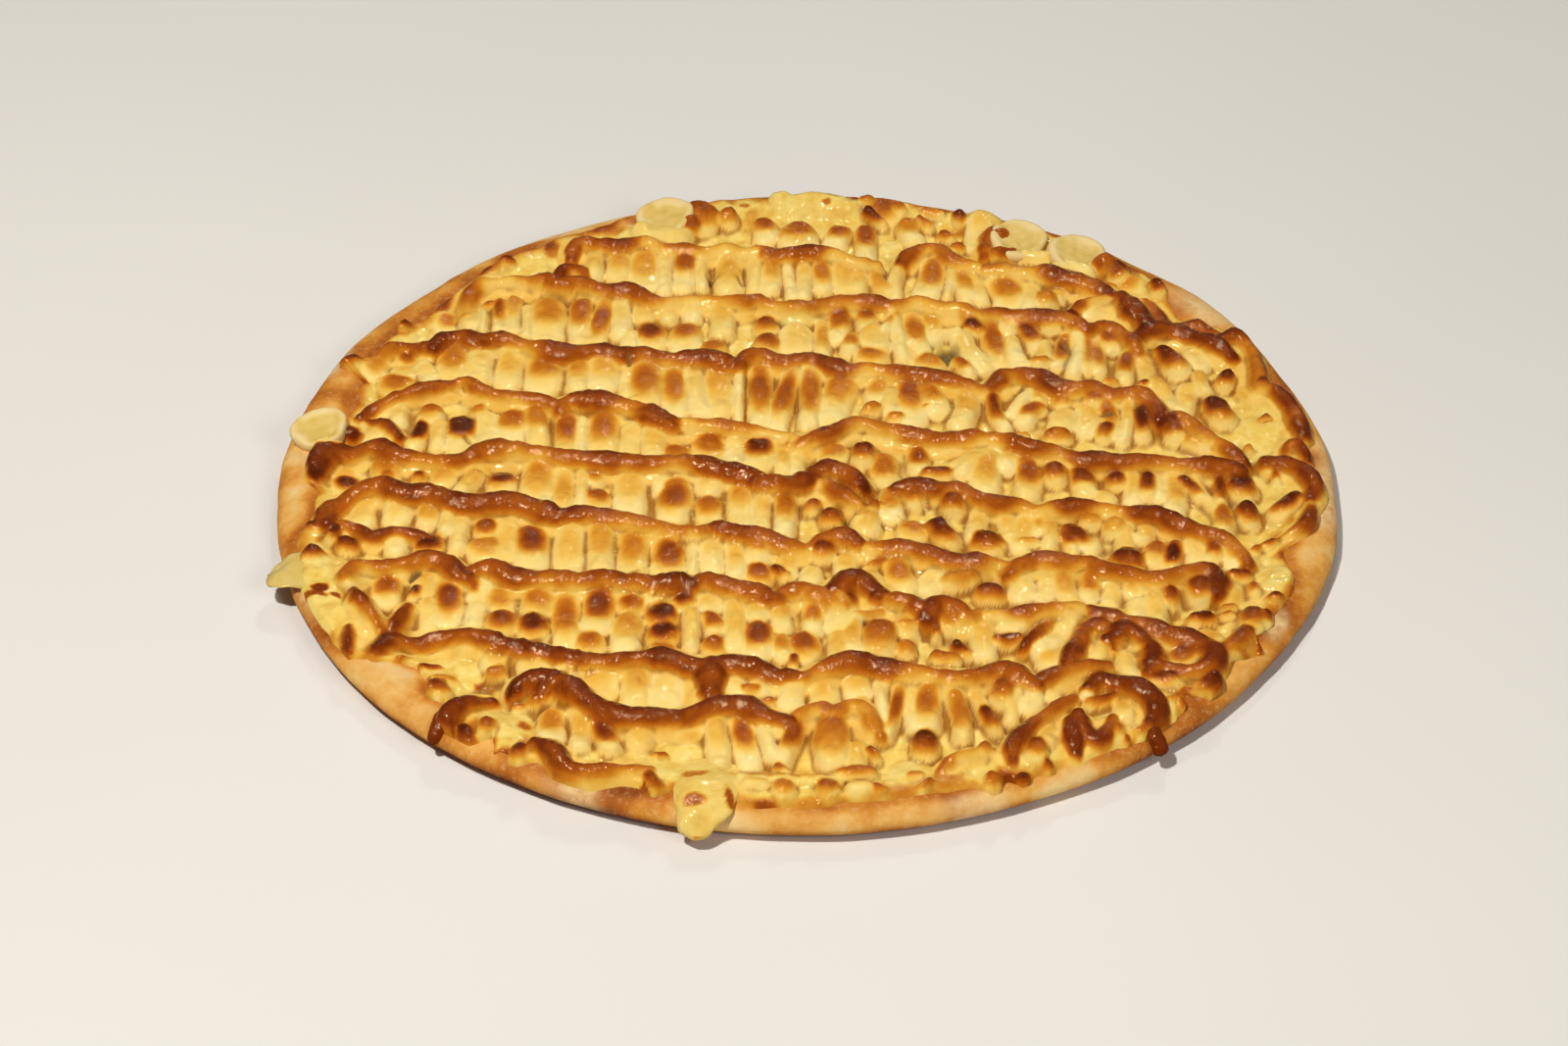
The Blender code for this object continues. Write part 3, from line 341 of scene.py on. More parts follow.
    (15, -82, -104, 7.5, 24, 40), (33, -80, -94, 8, 20), (88, -78, -102, 9, 12, 50, -16),
    (55, -84, -104, 7, 14, 50, 2), (94, -90, -106, 6, 5, 50, -2), (101, -98, -114, 6, 12),
    (77, -98, -108, 7, 10, 50, -1), (66, -78, -92, 8, 12, 50, -1), (126, -86, -98, 7, 20, 50, 4),
    # front right
    (16.5, -106, -124, 9.5, 22), (16, -120, -142, 6.5, 44, 50, 7), (24, -112, -136, 5, 0, 50, -0.5),
    (29.5, -112, -142, 5.8, 60, 55, -4.5), (33, -112, -138, 5.5, 5),
    (38.5, -110, -138, 8.5, 46, 55, -0.5), (45, -110, -128, 6, 5), (46, -118, -142, 6.5, 36, 50, 2),
    (53.5, -110, -134, 6, 5), (65, -116, -134, 5.5, 0, 50, -1), (70, -114, -130, 6.5, 10, 50, -1),
    (77, -112, -124, 7, 5), (-4, -108, -130, 9, 8), (6, -112, -128, 9, 8),
    (16, -140, -156, 7, 5, 50, -1), (74, -134, -146, 7, 8), (98, -120, -134, 6.5, 8, 50, -1),
    (88, -116, -126, 6, 0),
)

# Mounds of cheese: x, y, length, width, turn of the length, how dark
OVALS = (
    (4, -13, 11, 7, 60, 80), (13, -19, 13, 8, -40, 76), (3, -26, 8, 6, 80, 62),
    (9.5, -32, 10, 9, 90, 88), (18, -34, 7, 6, 0, 10), (-160, -38, 7, 4.5, -30, 90),
    (-153, -42, 11, 5.5, 75, 86), (-148, -47, 10, 8.5, 90, 95), (-159, -53, 10, 8, 60, 88),
    (-7.5, -60, 10, 5, -50, 82), (6, -49.5, 13, 10.5, 85, 88), (-124.5, -71, 8, 5, 80, 92),
    (-40, -65, 9, 7, 0, 90), (-3.5, -104, 8, 4, 85, 72), (-117, -105, 9, 5.5, -5, 92),
    (-113, -117, 11, 7.5, -60, 78), (-126, -102, 5, 3, 60, 72), (-112, -111, 9, 5, 0, 50),
    (-96, -109, 8, 5.5, 0, 62), (-16.5, -118.5, 9, 6, 0, 52), (-11, -123.5, 5, 5, 0, 58),
    (-81, -121.5, 10, 6.5, 20, 78), (-88, -123.5, 5, 3, 0, 62), (-43, -135, 9, 8, 90, 52),
    (-44, -146.5, 6, 3.5, 5, 78), (-45, -162, 13, 5, -60, 66), (8, -142, 25, 11.5, 92, 50),
    (-7, -154, 8, 4.5, -50, 56), (-6, -164, 10, 8, 90, 45), (6.5, -163, 10, 7.5, 90, 72),
    (-103, -140, 13, 5.5, -70, 88), (-97, -136, 10, 6, 90, 52), (-95, -146, 5, 3, -30, 70),
    (-87, -147, 9, 6.5, 70, 78), (-15, -161, 10, 6, 0, 12), (50.5, 72, 13, 6, 0, 0),
    (61, 75, 10, 7, -45, 97), (57, 80, 7, 4, -40, 60), (87.5, 75, 9, 6.5, 0, 36),
    (82.5, 54, 9, 6.5, 0, 46), (87, 92, 12, 10, 90, 46), (95, 81, 9, 6.5, -40, 99),
    (128, 55, 20, 10, 118, 86), (114.5, 64, 10, 5.5, -70, 64), (145.5, 44, 11, 7.5, 70, 86),
    (157, 40, 9, 8, 90, 86), (141.5, 26, 18, 11, 108, 90), (157, 22, 4, 3.5, 0, 80),
    (99.5, 34, 15, 9.5, 90, 86), (115, 19, 18, 6.5, 88, 98), (125.5, 16, 17, 8.5, 95, 86),
    (102.5, 15, 11, 7, 70, 78), (117, 41, 6, 4.5, 20, 80), (106, 43, 7, 3.5, 0, 45),
    (23.7, 27, 9, 8, 0, 46), (31.7, 22.5, 7, 6, 0, 42), (88.7, 32, 8, 7.5, 0, 52),
    (42, 28.5, 3, 2.5, 0, 55), (27, 144, 13, 5, -45, 86), (24, 154, 7, 6, 0, 62),
    (36, 150, 8, 5, -60, 60), (45, 141, 9, 5, -40, 50), (53, 133, 9, 5, -40, 62),
    (56.5, 126, 6.5, 6, 0, 66), (58, 143, 9, 5.5, 95, 86), (60.5, 113.5, 7, 4, 40, 68),
    (71, 120, 10, 5.5, 0, 82), (113, 109, 11, 8.5, 90, 86), (109, 116, 6, 5, 0, 46),
    (127, 99, 10, 6, 100, 82), (48, 146, 10, 5, -15, 40), (110, 101, 7, 5, -30, 50),
    (20.5, 1.5, 15, 9, 90, 86), (44.5, -8.5, 12, 7, 0, 88), (83.5, -9, 13, 9.5, 90, 74),
    (104, -12, 9.5, 7.5, 90, 86), (86, 12, 11, 7.5, 0, 62), (74, 13, 7, 3.5, -10, 42),
    (23, -26.5, 9, 5.5, 75, 62), (36.5, -21.5, 12, 8, -62, 68), (49, -25.5, 12, 9.5, 90, 76),
    (45.5, -41, 18, 9.5, -64, 86), (60, -44.5, 13, 12.5, 0, 90), (94, -34, 8.5, 8, 0, 42),
    (101.5, -38, 10, 9, 90, 36), (73, -45, 9, 5, 0, 36), (114, -15.5, 16, 6.5, 85, 84),
    (128.5, -16.5, 15, 5.5, -58, 82), (138, -18, 17, 5, 88, 74), (146, -29.5, 13, 8.5, 92, 86),
    (157.5, -8, 9, 3.5, 88, 66), (159, -25, 15, 8.5, 42, 98), (151.5, -43, 7, 5, 30, 78),
    (147, -46, 6, 4, 60, 62), (133, 8, 13, 8.5, -30, 36), (150, 7, 3.5, 3, 0, 55),
    (23, -57, 11, 4.5, 35, 52), (14, -77, 11, 8, 80, 76), (50, -65, 15, 8, 15, 40),
    (59.5, -71, 12, 10.5, 0, 82), (47, -82, 17, 15.5, 90, 74), (41.7, -89, 11, 4, 88, 78),
    (49.5, -98, 11, 5, -58, 90), (33, -87, 8, 4, 0, 42), (23.5, -94, 21, 12.5, 85, 58),
    (32, -98, 9, 7, 90, 54), (20, -82, 13, 4, 10, 34), (44, -103, 11, 6.5, -10, 58),
    (64, -94, 12, 6, 3, 94), (104.5, -55, 14, 11.5, 90, 94), (133, -49.5, 12, 6, 88, 82),
    (127, -69, 15, 11.5, 72, 88), (117, -73.5, 10.5, 7, 90, 74), (140, -62, 9.5, 6.5, 0, 86),
    (144, -68, 8, 4.5, 90, 52), (150, -74, 6, 5, 30, 82), (126, -83, 11, 7, 8, 98),
    (135, -78, 7, 3.5, 0, 52), (134, -81.5, 6, 3.5, 0, 52), (141.5, -85, 14, 8.5, 85, 74),
    (146.3, -84, 8, 4.5, 80, 74), (135.5, -97, 21, 8.5, 55, 66), (143.5, -98, 11, 4, 85, 92),
    (119, -101, 14, 12, 60, 76), (97, -100, 4, 3, 0, 60), (25, -113.5, 8, 5.5, 90, 56),
    (36.3, -143, 13.5, 9.8, 88, 84), (61.3, -120, 15, 9, 86, 68), (57, -132, 15, 6, -72, 76),
    (70, -147, 13, 7.5, 86, 70), (73.3, -153, 5, 3.5, -60, 78), (66, -158.5, 6, 5, 0, 86),
    (56.5, -160, 8, 5.5, 85, 56), (36, -162, 7, 3.5, 50, 52), (91, -123.5, 13, 5, 25, 78),
    (111, -113, 14, 10, 0, 90), (126, -116.5, 11.5, 8, 35, 88), (117, -125, 6, 2.5, -60, 62),
    (113, -123, 7, 2.5, 30, 55), (116, -130, 3.5, 2, -80, 62), (103, -137, 8, 5, 30, 48),
    (98, -141, 5, 3, 90, 58), (111, -134, 6, 3, 40, 52), (107, -143, 14, 5, 92, 94),
    (95, -138, 8, 6, 90, 48), (20.7, -147, 7, 4, -50, 58), (54.5, -145.5, 8, 6, 90, 52),
    (15, -156, 15, 6.5, 6, 62), (33, -157, 6, 4.5, 0, 42), (22, -164, 6, 4, -40, 55),
    (16, -163, 9, 7, 0, 6), (2, -158, 9, 5, 10, 30), (-37, 143, 18, 15, 70, 60),
    (-27, 144, 10, 9, 80, 52), (-111, 91, 5, 4, 0, 62), (-106, 116, 6, 5, 0, 82),
    (-140, 77, 6, 4, 60, 80), (-157, 54, 9, 6, 30, 88), (-50, 146, 18, 16, 70, 2),
)

# Slices of palm heart: CAD node, radius and height in metres, tilt about X and Y, turn
SLICES = (
    ("palm_slice_left", 0.0096, 0.0044, 4, -8, 20),
    ("palm_slice_back_left", 0.0106, 0.0044, 6, -5, 0),
    ("palm_slice_back", 0.0106, 0.0042, 6, 5, 0),
    ("palm_slice_back_right", 0.0104, 0.0042, 4, 7, 0),
)

# Section of a slice from its middle out and back below: share of its radius and of its half height
SLICE_SECTION = (
    (0.12, 0.42), (0.24, 0.62), (0.36, 0.50), (0.48, 0.66), (0.58, 0.60), (0.68, 0.80), (0.76, 0.95),
    (0.86, 1.0), (0.94, 0.9), (0.99, 0.6), (1.0, 0.1), (0.99, -0.5), (0.95, -0.85), (0.86, -1.0),
    (0.5, -1.0),
)

# Melt that laps over the slices: x, y, length, width, turn, rise, how dark
LAPS = (
    (-162, 6.5, 17, 8, 8, 5.0, 6), (-152.5, 13.5, 9, 8, 10, 6.0, 80), (-166, 9, 7, 6, 60, 4.2, 0),
    (-51, 132, 24, 13, 2, 6.0, 10), (-58, 135, 9, 9, 40, 5.4, 5), (-41, 139, 8, 12, 10, 6.4, 62),
    (70, 129, 9, 14, 12, 6.6, 60), (73, 120.5, 13, 7, 10, 6.0, 62), (84, 119, 15, 8, -20, 6.0, 4),
    (97.5, 110.5, 19, 10, -30, 6.6, 4), (108, 111.5, 8, 9, 0, 6.2, 55),
)

# Pale floury patches of the crust: angle, radius, length, width
FLOUR = (
    (32, 168, 32, 18), (354, 174, 50, 20), (217, 168, 22, 11), (160, 173, 24, 8), (204, 172, 20, 10),
    (246, 174, 20, 7), (287, 172, 26, 8), (120, 163, 40, 6), (330, 172, 16, 8),
)

# Runs that hang over the crust's edge: name, how dark, how molten, how rough, how grey, and
# sections as x, y, z, half width and half thickness
RUNS = (
    ("tongue", 4, 65, 1.0, 5,
     ((-27, -147, 7.0, 8.0, 2.0), (-28.5, -155.5, 9.6, 9.6, 2.4), (-30.2, -163.5, 10.7, 9.8, 2.6),
      (-31.2, -169.8, 9.7, 9.0, 2.6), (-32.6, -174.4, 7.2, 5.8, 2.4), (-33.2, -178.0, 4.4, 3.2, 1.9))),
    ("lump", 0, 50, 1.5, 30,
     ((-154, -58, 9.0, 6.5, 1.6), (-161, -58.5, 10.3, 8.6, 2.0), (-167, -59, 10.0, 8.4, 2.0),
      (-171, -58.5, 8.8, 6.4, 1.7), (-173, -58, 7.6, 3.6, 1.3))),
    ("drip", 97, 0, 0.4, 0,
     ((105.4, -135, 10.6, 2.4, 1.6), (107, -138, 9.8, 2.7, 1.9), (108.2, -140.6, 7.8, 2.6, 1.9),
      (108.8, -141.8, 5.2, 2.0, 1.5))),
    ("rope_end", 98, 0, 0.4, 0,
     ((-109.5, -127, 10.8, 3.2, 2.2), (-111.5, -131.5, 10.2, 2.9, 1.9), (-113.2, -135, 7.8, 2.2, 1.6),
      (-113.8, -137.2, 5.2, 1.4, 1.2))),
)

# Soft molten swellings near the rim: x, y, length, width, turn, rise
SWELLINGS = (
    (-2, 153, 18, 10, 10, 3.0), (9, 153.5, 17, 11, -8, 3.3), (17, 151, 9, 8, 0, 2.6),
    (-8, 156, 9, 7, 20, 3.6), (67, 141, 13, 15, 100, 3.2), (33, 130, 9, 17, 0, 1.6),
    (150, -62, 14, 26, 20, 1.8), (153, 18, 12, 26, 8, 1.4), (-113, -105, 26, 22, -30, 1.6),
    (-90, -131, 12, 14, 0, 1.4), (-46, -147, 26, 20, 0, 1.6), (-31, -157, 16, 16, 90, 1.2),
    (32, -153, 13, 10, 0, 1.4), (-155, -62, 20, 16, 20, 1.8), (-157, -80, 24, 18, -65, 2.2),
    (-5, -158, 34, 7, -4, 3.0), (-152, 78, 14, 10, 60, 1.0), (12, -88, 14, 10, 0, 1.2),
    (-162, 21, 16, 8, 60, 2.2), (-57, 134, 22, 10, 20, 2.2), (84, 121, 30, 9, -30, 2.4),
)

# Flat brown marks on the molten parts: x, y, length, width, turn, how dark
STAINS = (
    (-33, -169, 8.5, 4.5, 6, 60), (-22.6, -167.5, 3, 9, 10, 68), (-46, -163, 13, 6, -42, 72),
    (-33.4, -180, 9, 3.2, 0, 60), (-33, -157, 11, 4, 8, 55), (-6, -165, 9, 6, 20, 72),
    (-12, -157, 26, 4, -6, 46), (-158, -71.5, 13, 3.2, -14, 72), (-155, -69.5, 7, 4, -10, 84),
    (-149, -73, 6, 2.6, -40, 80), (-164, -73.5, 4, 4, 30, 60), (157, 22, 5, 4, 0, 78),
    (150, 10, 4, 2.5, 40, 50), (148, 40, 3, 2, 0, 45), (9, 152, 4.5, 3, 0, 58),
    (21, 158, 7, 4, 30, 66), (-8, 157.5, 8, 2.5, 0, 66), (-21, 153, 4, 3, 0, 50),
    (60, 132, 5, 10, 0, 74), (156, -70, 16, 2, 70, 60), (149, -80, 8, 4, 50, 52),
    (118, -118, 12, 4, 40, 62), (111, -126, 8, 3, 30, 58), (104, -130, 7, 3, 10, 55),
    (-101, -112, 5, 4, 40, 66), (-117, -112, 9, 3, 30, 52), (-96, -141, 5, 4, 0, 64),
    (-86, -133, 5, 7, 20, 60),
)

# Hollows between the strips, greyed inside as painted shade: x, y, length, width, turn, depth, how grey
HOLLOWS = (
    (50.5, 62, 11, 7.5, 80, 4.2, 100), (-125, -63, 5, 2.4, 40, 2.0, 70), (-60, 53, 2, 4, 0, 1.5, 60),
    (-9, 79, 3.5, 3, 0, 2.0, 70), (75, 38, 4, 2, 60, 1.6, 50), (-32, 107, 4.5, 3.5, 20, 2.2, 60),
    (-22, 104, 1.8, 8, 15, 1.6, 60), (92, 63, 3, 8, 10, 1.8, 60), (104, 24, 7, 2.5, 10, 1.8, 60),
    (14, -33, 5, 2.2, 30, 1.4, 50), (-113, 10, 2, 6, 30, 1.4, 50),
)


# ---------------------------------------------------------------- shape helpers

def smooth(low, high, value):
    """0 below low, 1 above high and an S curve between, for numbers and arrays."""
    share = np.clip((value - low) / (high - low), 0.0, 1.0)
    return share * share * (3.0 - 2.0 * share)


def lumps(points, *layers):
    """Sum of smooth noises, each given as its strength, the size of its lumps in mm and a seed."""
    total = np.zeros(len(points))
    for strength, size, seed in layers:
        place = points / (size * MM) + seed * 13.7
        cell = np.floor(place).astype(np.int64)
        share = place - cell
        share = share * share * (3.0 - 2.0 * share)
        for corner in range(8):
            step = np.array([corner & 1, corner >> 1 & 1, corner >> 2 & 1])
            key = ((cell + step) * CELL_KEYS).sum(1)            # then mixed into a random value
            key = (key ^ (key >> 15)) * 2246822519 & 0x7FFFFFFF
            key = (key ^ (key >> 13)) * 3266489917 & 0x7FFFFFFF
            value = (key ^ (key >> 16)) / 0x40000000 - 1.0
            total += strength * value * np.where(step, share, 1.0 - share).prod(1)
    return total


def flat(x, y):
    """Points at height 0."""
    return np.column_stack([x, y, 0.0 * x])


def dough_top(radius):
    """Height of the dough's upper surface at a radius."""
    inner = BASE_HEIGHT + (RIM_HEIGHT - BASE_HEIGHT) * smooth(CRUST_RADIUS - RIM_WIDTH, CREST_RADIUS, radius)
    over = np.clip((radius - CREST_RADIUS) / EDGE_ROUND, 0.0, 1.0)
    return np.where(radius < CREST_RADIUS, inner, 0.5 * RIM_HEIGHT * (1.0 + np.sqrt(1.0 - over ** 2)))


def edge_radius(edge, angle):
    """Radius of an outline at an angle in radians."""
    turn = np.degrees(angle) % 360.0
    stops = np.array(edge)
    last = np.clip(np.searchsorted(stops[:, 0], turn), 1, len(stops) - 1)
    low, high = stops[last - 1], stops[last]
    return low[..., 1] + (high - low)[..., 1] * smooth(low[..., 0], high[..., 0], turn)


def swell(angle):
    """How much the round crust is scaled at an angle."""
    return edge_radius(CRUST_EDGE, angle) / CRUST_RADIUS


def layer_top(x, y):
    """Height of the melted layer, and of a strip above it."""
    angle, radius = np.arctan2(y, x), np.hypot(x, y)
    inside = edge_radius(MELT_EDGE, angle) - radius
    melt = MELT_EDGE_HEIGHT + (MELT_HEIGHT - MELT_EDGE_HEIGHT) * smooth(0.0, MELT_RUN, inside)
    return dough_top(radius / swell(angle)) + melt, STRIP_HEIGHT * smooth(*STRIP_FADE, inside)


def travelled(path):
    """Distance from the start at each point of a path."""
    return np.concatenate([[0.0], np.cumsum(np.linalg.norm(np.diff(path, axis=0), axis=1))])


def bend_through(points, spacing):
    """Points at an even spacing on a smooth curve through the given points."""
    given = np.array(points, float)
    places = np.vstack([2 * given[0] - given[1], given, 2 * given[-1] - given[-2]])
    share = np.linspace(0.0, 1.0, CURVE_STEPS, endpoint=False)[:, None]
    fine = [0.5 * (2 * start + (end - before) * share
                   + (2 * before - 5 * start + 4 * end - after) * share ** 2
                   + (3 * start - before - 3 * end + after) * share ** 3)
            for before, start, end, after in zip(places, places[1:], places[2:], places[3:])]
    fine = np.vstack(fine + [places[-2:-1]])
    gone = travelled(fine)
    marks = np.linspace(0.0, gone[-1], max(4, round(gone[-1] / spacing) + 1))
    return np.column_stack([np.interp(marks, gone, column) for column in fine.T])


def nearest_on(path, points):
    """For each point: distance along the path, and distance away from it with its side as sign."""
    start, step = path[:-1], np.diff(path, axis=0)
    size = (step ** 2).sum(1)
    gap = points[:, None, :] - start
    share = np.clip((gap * step).sum(2) / size, 0.0, 1.0)
    off = gap - share[..., None] * step
    away = np.hypot(off[..., 0], off[..., 1])
    best = away.argmin(1)
    row = np.arange(len(points))
    turn = step[best, 0] * gap[row, best, 1] - step[best, 1] * gap[row, best, 0]
    gone = travelled(path)[best] + share[row, best] * np.sqrt(size[best])
    return gone, away[row, best] * np.sign(turn)


def oval_share(x, y, centre_x, centre_y, length, width, turn):
    """Distance from an oval's centre, 1 at its edge; the oval is given in mm and degrees."""
    cosine, sine = math.cos(math.radians(turn)), math.sin(math.radians(turn))
    east, north = x - centre_x * MM, y - centre_y * MM
    along, across = east * cosine + north * sine, north * cosine - east * sine
    return np.hypot(along / (0.5 * length * MM), across / (0.5 * width * MM))


def oval_path(x, y, length, width, turn):
    """Middle line of an oval that is given in mm and degrees."""
    way = np.array([math.cos(math.radians(turn)), math.sin(math.radians(turn))])
    core = max(0.5 * (length - width), 0.4) * MM
    centre = np.array([x, y]) * MM
    return np.array([centre - way * core, centre, centre + way * core])


def ring_faces(rows, sides):
    """Faces of a closed body of rings, whose first and last end points follow the rings."""
    ring = np.arange(sides)
    after = (ring + 1) % sides
    start = (np.arange(rows - 1) * sides)[:, None]
    last, end = (rows - 1) * sides, np.full(sides, rows * sides)
    quads = np.stack([start + ring, start + sides + ring, start + sides + after, start + after], -1)
    return [quads.reshape(-1, 4), np.column_stack([ring, after, end]),
            np.column_stack([last + after, last + ring, end + 1])]


def turned(radii, heights, stretch, top, bottom):
    """Points and faces of a closed body turned round Z, with its radius stretched at each angle."""
    angle = np.linspace(0.0, 2 * math.pi, len(stretch), endpoint=False)
    radius = np.outer(radii, stretch)
    rings = np.column_stack([(radius * np.cos(angle)).ravel(), (radius * np.sin(angle)).ravel(),
                             np.repeat(heights, len(stretch))])
    return np.vstack([rings, (0, 0, top), (0, 0, bottom)]), ring_faces(len(radii), len(stretch))


def sweep(path, half_width, half_height):
    """Sweep an oval along a path. Returns points, faces and outward normals."""
    turns = np.linspace(0.0, 2 * math.pi, RUN_SIDES, endpoint=False)
    along = np.gradient(path, axis=0)
    along /= np.linalg.norm(along, axis=1)[:, None]
    side = np.cross(along, (0.0, 0.0, 1.0))
    side /= np.linalg.norm(side, axis=1)[:, None]
    lift = np.cross(side, along)
    across, above = np.sin(turns)[None, :, None], np.cos(turns)[None, :, None]
    side, lift = side[:, None, :], lift[:, None, :]
    rings = (path[:, None, :] + side * (half_width[:, None, None] * across)
             + lift * (half_height[:, None, None] * above))
    points = np.vstack([rings.reshape(-1, 3), path[:1], path[-1:]])
    outward = np.vstack([(side * across + lift * above).reshape(-1, 3), -along[:1], along[-1:]])
    faces = [np.roll(block[:, ::-1], 1, axis=1) for block in ring_faces(len(path), RUN_SIDES)]
    return points, faces, outward


def drawn_in(gone, reach):
    """Factor that rounds off both ends of a body, over the given reach."""
    near = np.minimum(gone, gone[-1] - gone) / reach
    return np.sqrt(np.clip(1.0 - (1.0 - np.clip(near, 0.0, 1.0)) ** 2, 0.0025, 1.0))


def stained(x, y, brown):
    """Brown values with the flat marks added."""
    uneven = lumps(flat(x, y), (0.30, 3, 11), (0.15, 1.3, 12))
    for *place, dark in STAINS:
        mark = dark / 100 * smooth(1.25, 0.5, oval_share(x, y, *place) + uneven)
        brown = np.maximum(brown, mark)
    return brown


def make_piece(name, material, nodes, points, faces, marks, normals=None):
    """Make one closed piece with its marks, let it ride on the frame and stand for its nodes."""
    mesh = bpy.data.meshes.new(name)
    mesh.from_pydata(points.tolist(), [], [row for block in faces for row in block.tolist()])
    for label, column in zip(MARKS, np.clip(marks, 0.0, 1.0).astype(np.float32).T):
        layer = mesh.attributes.new(label, "FLOAT", "POINT")
        layer.data.foreach_set("value", np.ascontiguousarray(column))
    mesh.materials.append(material)
    mesh.shade_smooth()
    mesh.update()
    if normals is not None:
        mesh.normals_split_custom_set_from_vertices(normals.tolist())
    piece = bpy.data.objects.new(name, mesh)
    bpy.context.scene.collection.objects.link(piece)
    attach(piece, "root")
    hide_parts(*nodes)


# ---------------------------------------------------------------- melted layer

class Relief:
    """Melted layer as a bent grid, on which soft things are laid that run into each other."""

    def __init__(self, bodies):
        side = np.linspace(-1.0, 1.0, GRID)
        u, v = np.meshgrid(side, side)
        wide = np.abs(u) >= np.abs(v)
        angle = np.where(wide, 0.25 * math.pi * v / np.where(u == 0, TINY, u),
                         0.5 * math.pi - 0.25 * math.pi * u / np.where(v == 0, TINY, v))
        angle = np.where(wide & (u < 0) | ~wide & (v < 0), angle + math.pi, angle).ravel()
        reach = self.reach(angle, bodies)
        radius = (np.maximum(np.abs(u), np.abs(v)) + TINY).ravel() * reach
        self.x, self.y = radius * np.cos(angle), radius * np.sin(angle)
        self.inside = reach - radius
        self.flat = flat(self.x, self.y)
        melt, self.strip = layer_top(self.x, self.y)
        rough = lumps(self.flat, (0.65, 8, 3), (0.32, 3.2, 4)) + 0.20 * np.abs(lumps(self.flat, (1, 1.9, 5)))
        lip = np.sqrt(1.0 - (1.0 - np.clip(self.inside / (1.4 * MM), 0.0, 1.0)) ** 2)
        dough = dough_top(radius / swell(angle))
        self.base = dough + (melt - dough + rough * MM) * lip - 0.3 * MM * (1.0 - lip)
        self.z = self.base.copy()
        scorch = smooth(0.25, 0.75, lumps(self.flat, (1, 6, 6))) * smooth(25 * MM, 4 * MM, self.inside)
        rim = smooth(4.5 * MM, 0.8 * MM, self.inside + MM * lumps(self.flat, (2.4, 7, 7)))
        self.brown = 0.14 + 0.36 * scorch + 0.30 * rim
        self.melted = 1.0 - 0.5 * rim
        self.hollow = np.zeros(len(self.x))
        self.order = np.argsort(self.y)
        self.sorted_y = self.y[self.order]

    @staticmethod
    def reach(angle, bodies):
        """Radius of the layer's edge: uneven, and bulging round what lies across it."""
        turns = np.linspace(0.0, 2 * math.pi, EDGE_TURNS, endpoint=False)
        rim = flat(np.cos(turns), np.sin(turns)) * CRUST_RADIUS
        edge = edge_radius(MELT_EDGE, turns) + MM * lumps(rim, (1.5, 9, 1), (0.8, 3.5, 2))
        for path, half in bodies:
            for x, y in path:
                away, foot = math.hypot(x, y), 1.25 * half
                beside = (turns - math.atan2(y, x) + math.pi) % (2 * math.pi) - math.pi
                near = np.abs(beside * away) < foot
                bulge = away + np.sqrt(foot ** 2 - (beside[near] * away) ** 2)
                edge[near] = np.maximum(edge[near], bulge)
        edge = np.minimum(edge, edge_radius(CRUST_EDGE, turns) - 2.5 * MM)
        edge = sum(np.roll(edge, step) for step in range(-4, 5)) / 9
        return np.interp(angle % (2 * math.pi), np.append(turns, 2 * math.pi), np.append(edge, edge[0]))

    def beside(self, path, reach):
        """Grid points near a path: indices, places, and distance along it and away from it."""
        low, high = path.min(0) - reach, path.max(0) + reach
        first, last = np.searchsorted(self.sorted_y, (low[1], high[1]))
        near = self.order[first:last]
        near = near[(self.x[near] > low[0]) & (self.x[near] < high[0])]
        return near, self.flat[near], *nearest_on(path, self.flat[near, :2])

    def raise_to(self, near, height, blend):
        """Raise points to a height, rounded where it meets the layer. Returns what was gained."""
        old = self.z[near]
        share = np.clip(1.0 - np.abs(height - old) / blend, 0.0, 1.0)
        self.z[near] = np.maximum(height, old) + 0.25 * blend * share ** 2
        return height - old

    def paint(self, near, taken, brown, melted):
        """Turn points to how brown and how molten they become, as far as they are taken."""
        self.brown[near] += (brown - self.brown[near]) * taken
        self.melted[near] += (melted - self.melted[near]) * taken

    def lay(self, path, half_width, rise, dark, at=0.5, reach=0.35, power=2.4, blend=0.7 * MM,
            seed=0, melted=0.0, tint=0.11, follow=0.0, even=0.3, lean=0.0, gold=0.0):
        """Lay one soft body along a path; rise is its height over the melt, follow the share
        of a strip's height that is added to it, even the share that is evenly brown, lean the
        shift of the browning to the rear, and gold the tint of the top."""
        near, places, gone, away = self.beside(path, 1.3 * half_width)
        line = np.column_stack([gone, np.full(len(gone), seed * SEED_STEP), np.sign(away) * 0.02])
        half = half_width * (1.0 + lumps(line, (0.13, 6, 1)))
        u = np.abs(away) / half
        crest = (rise + follow * self.strip[near]) * (1.0 + lumps(places, (0.11, 6, 2), (0.05, 2.5, 3)))
        bulge = crest * (1.0 - np.clip(u, 0.0, 1.0) ** power) ** (1.0 / power)
        height = self.base[near] + bulge - 6.0 * MM * np.clip(u - 1.0, 0.0, 1.0)
        gain = self.raise_to(near, height, blend)
        taken = smooth(-0.5 * blend, 0.5 * blend, gain) * smooth(1.05, 0.95, u)
        patch = lumps(places, (0.22, 4.5, 4), (0.12, 1.8, 5))
        from_spot = (gone - at * travelled(path)[-1]) / (reach * travelled(path)[-1] + 0.5 * half_width)
        spot = np.hypot(away / (0.98 * half), from_spot)
        middle = 0.5 * (path[:, 1].min() + path[:, 1].max())
        north = (places[:, 1] - middle) / (0.5 * np.ptp(path[:, 1]) + half_width)
        heat = tint + 0.30 * patch + gold * smooth(1.05, 0.3, u) * (1.0 + 0.7 * north)
        heat += dark * (1.0 + lean * north) * smooth(1.4, even, spot + 0.9 * patch - lean * north)
        self.paint(near, taken, heat, melted)

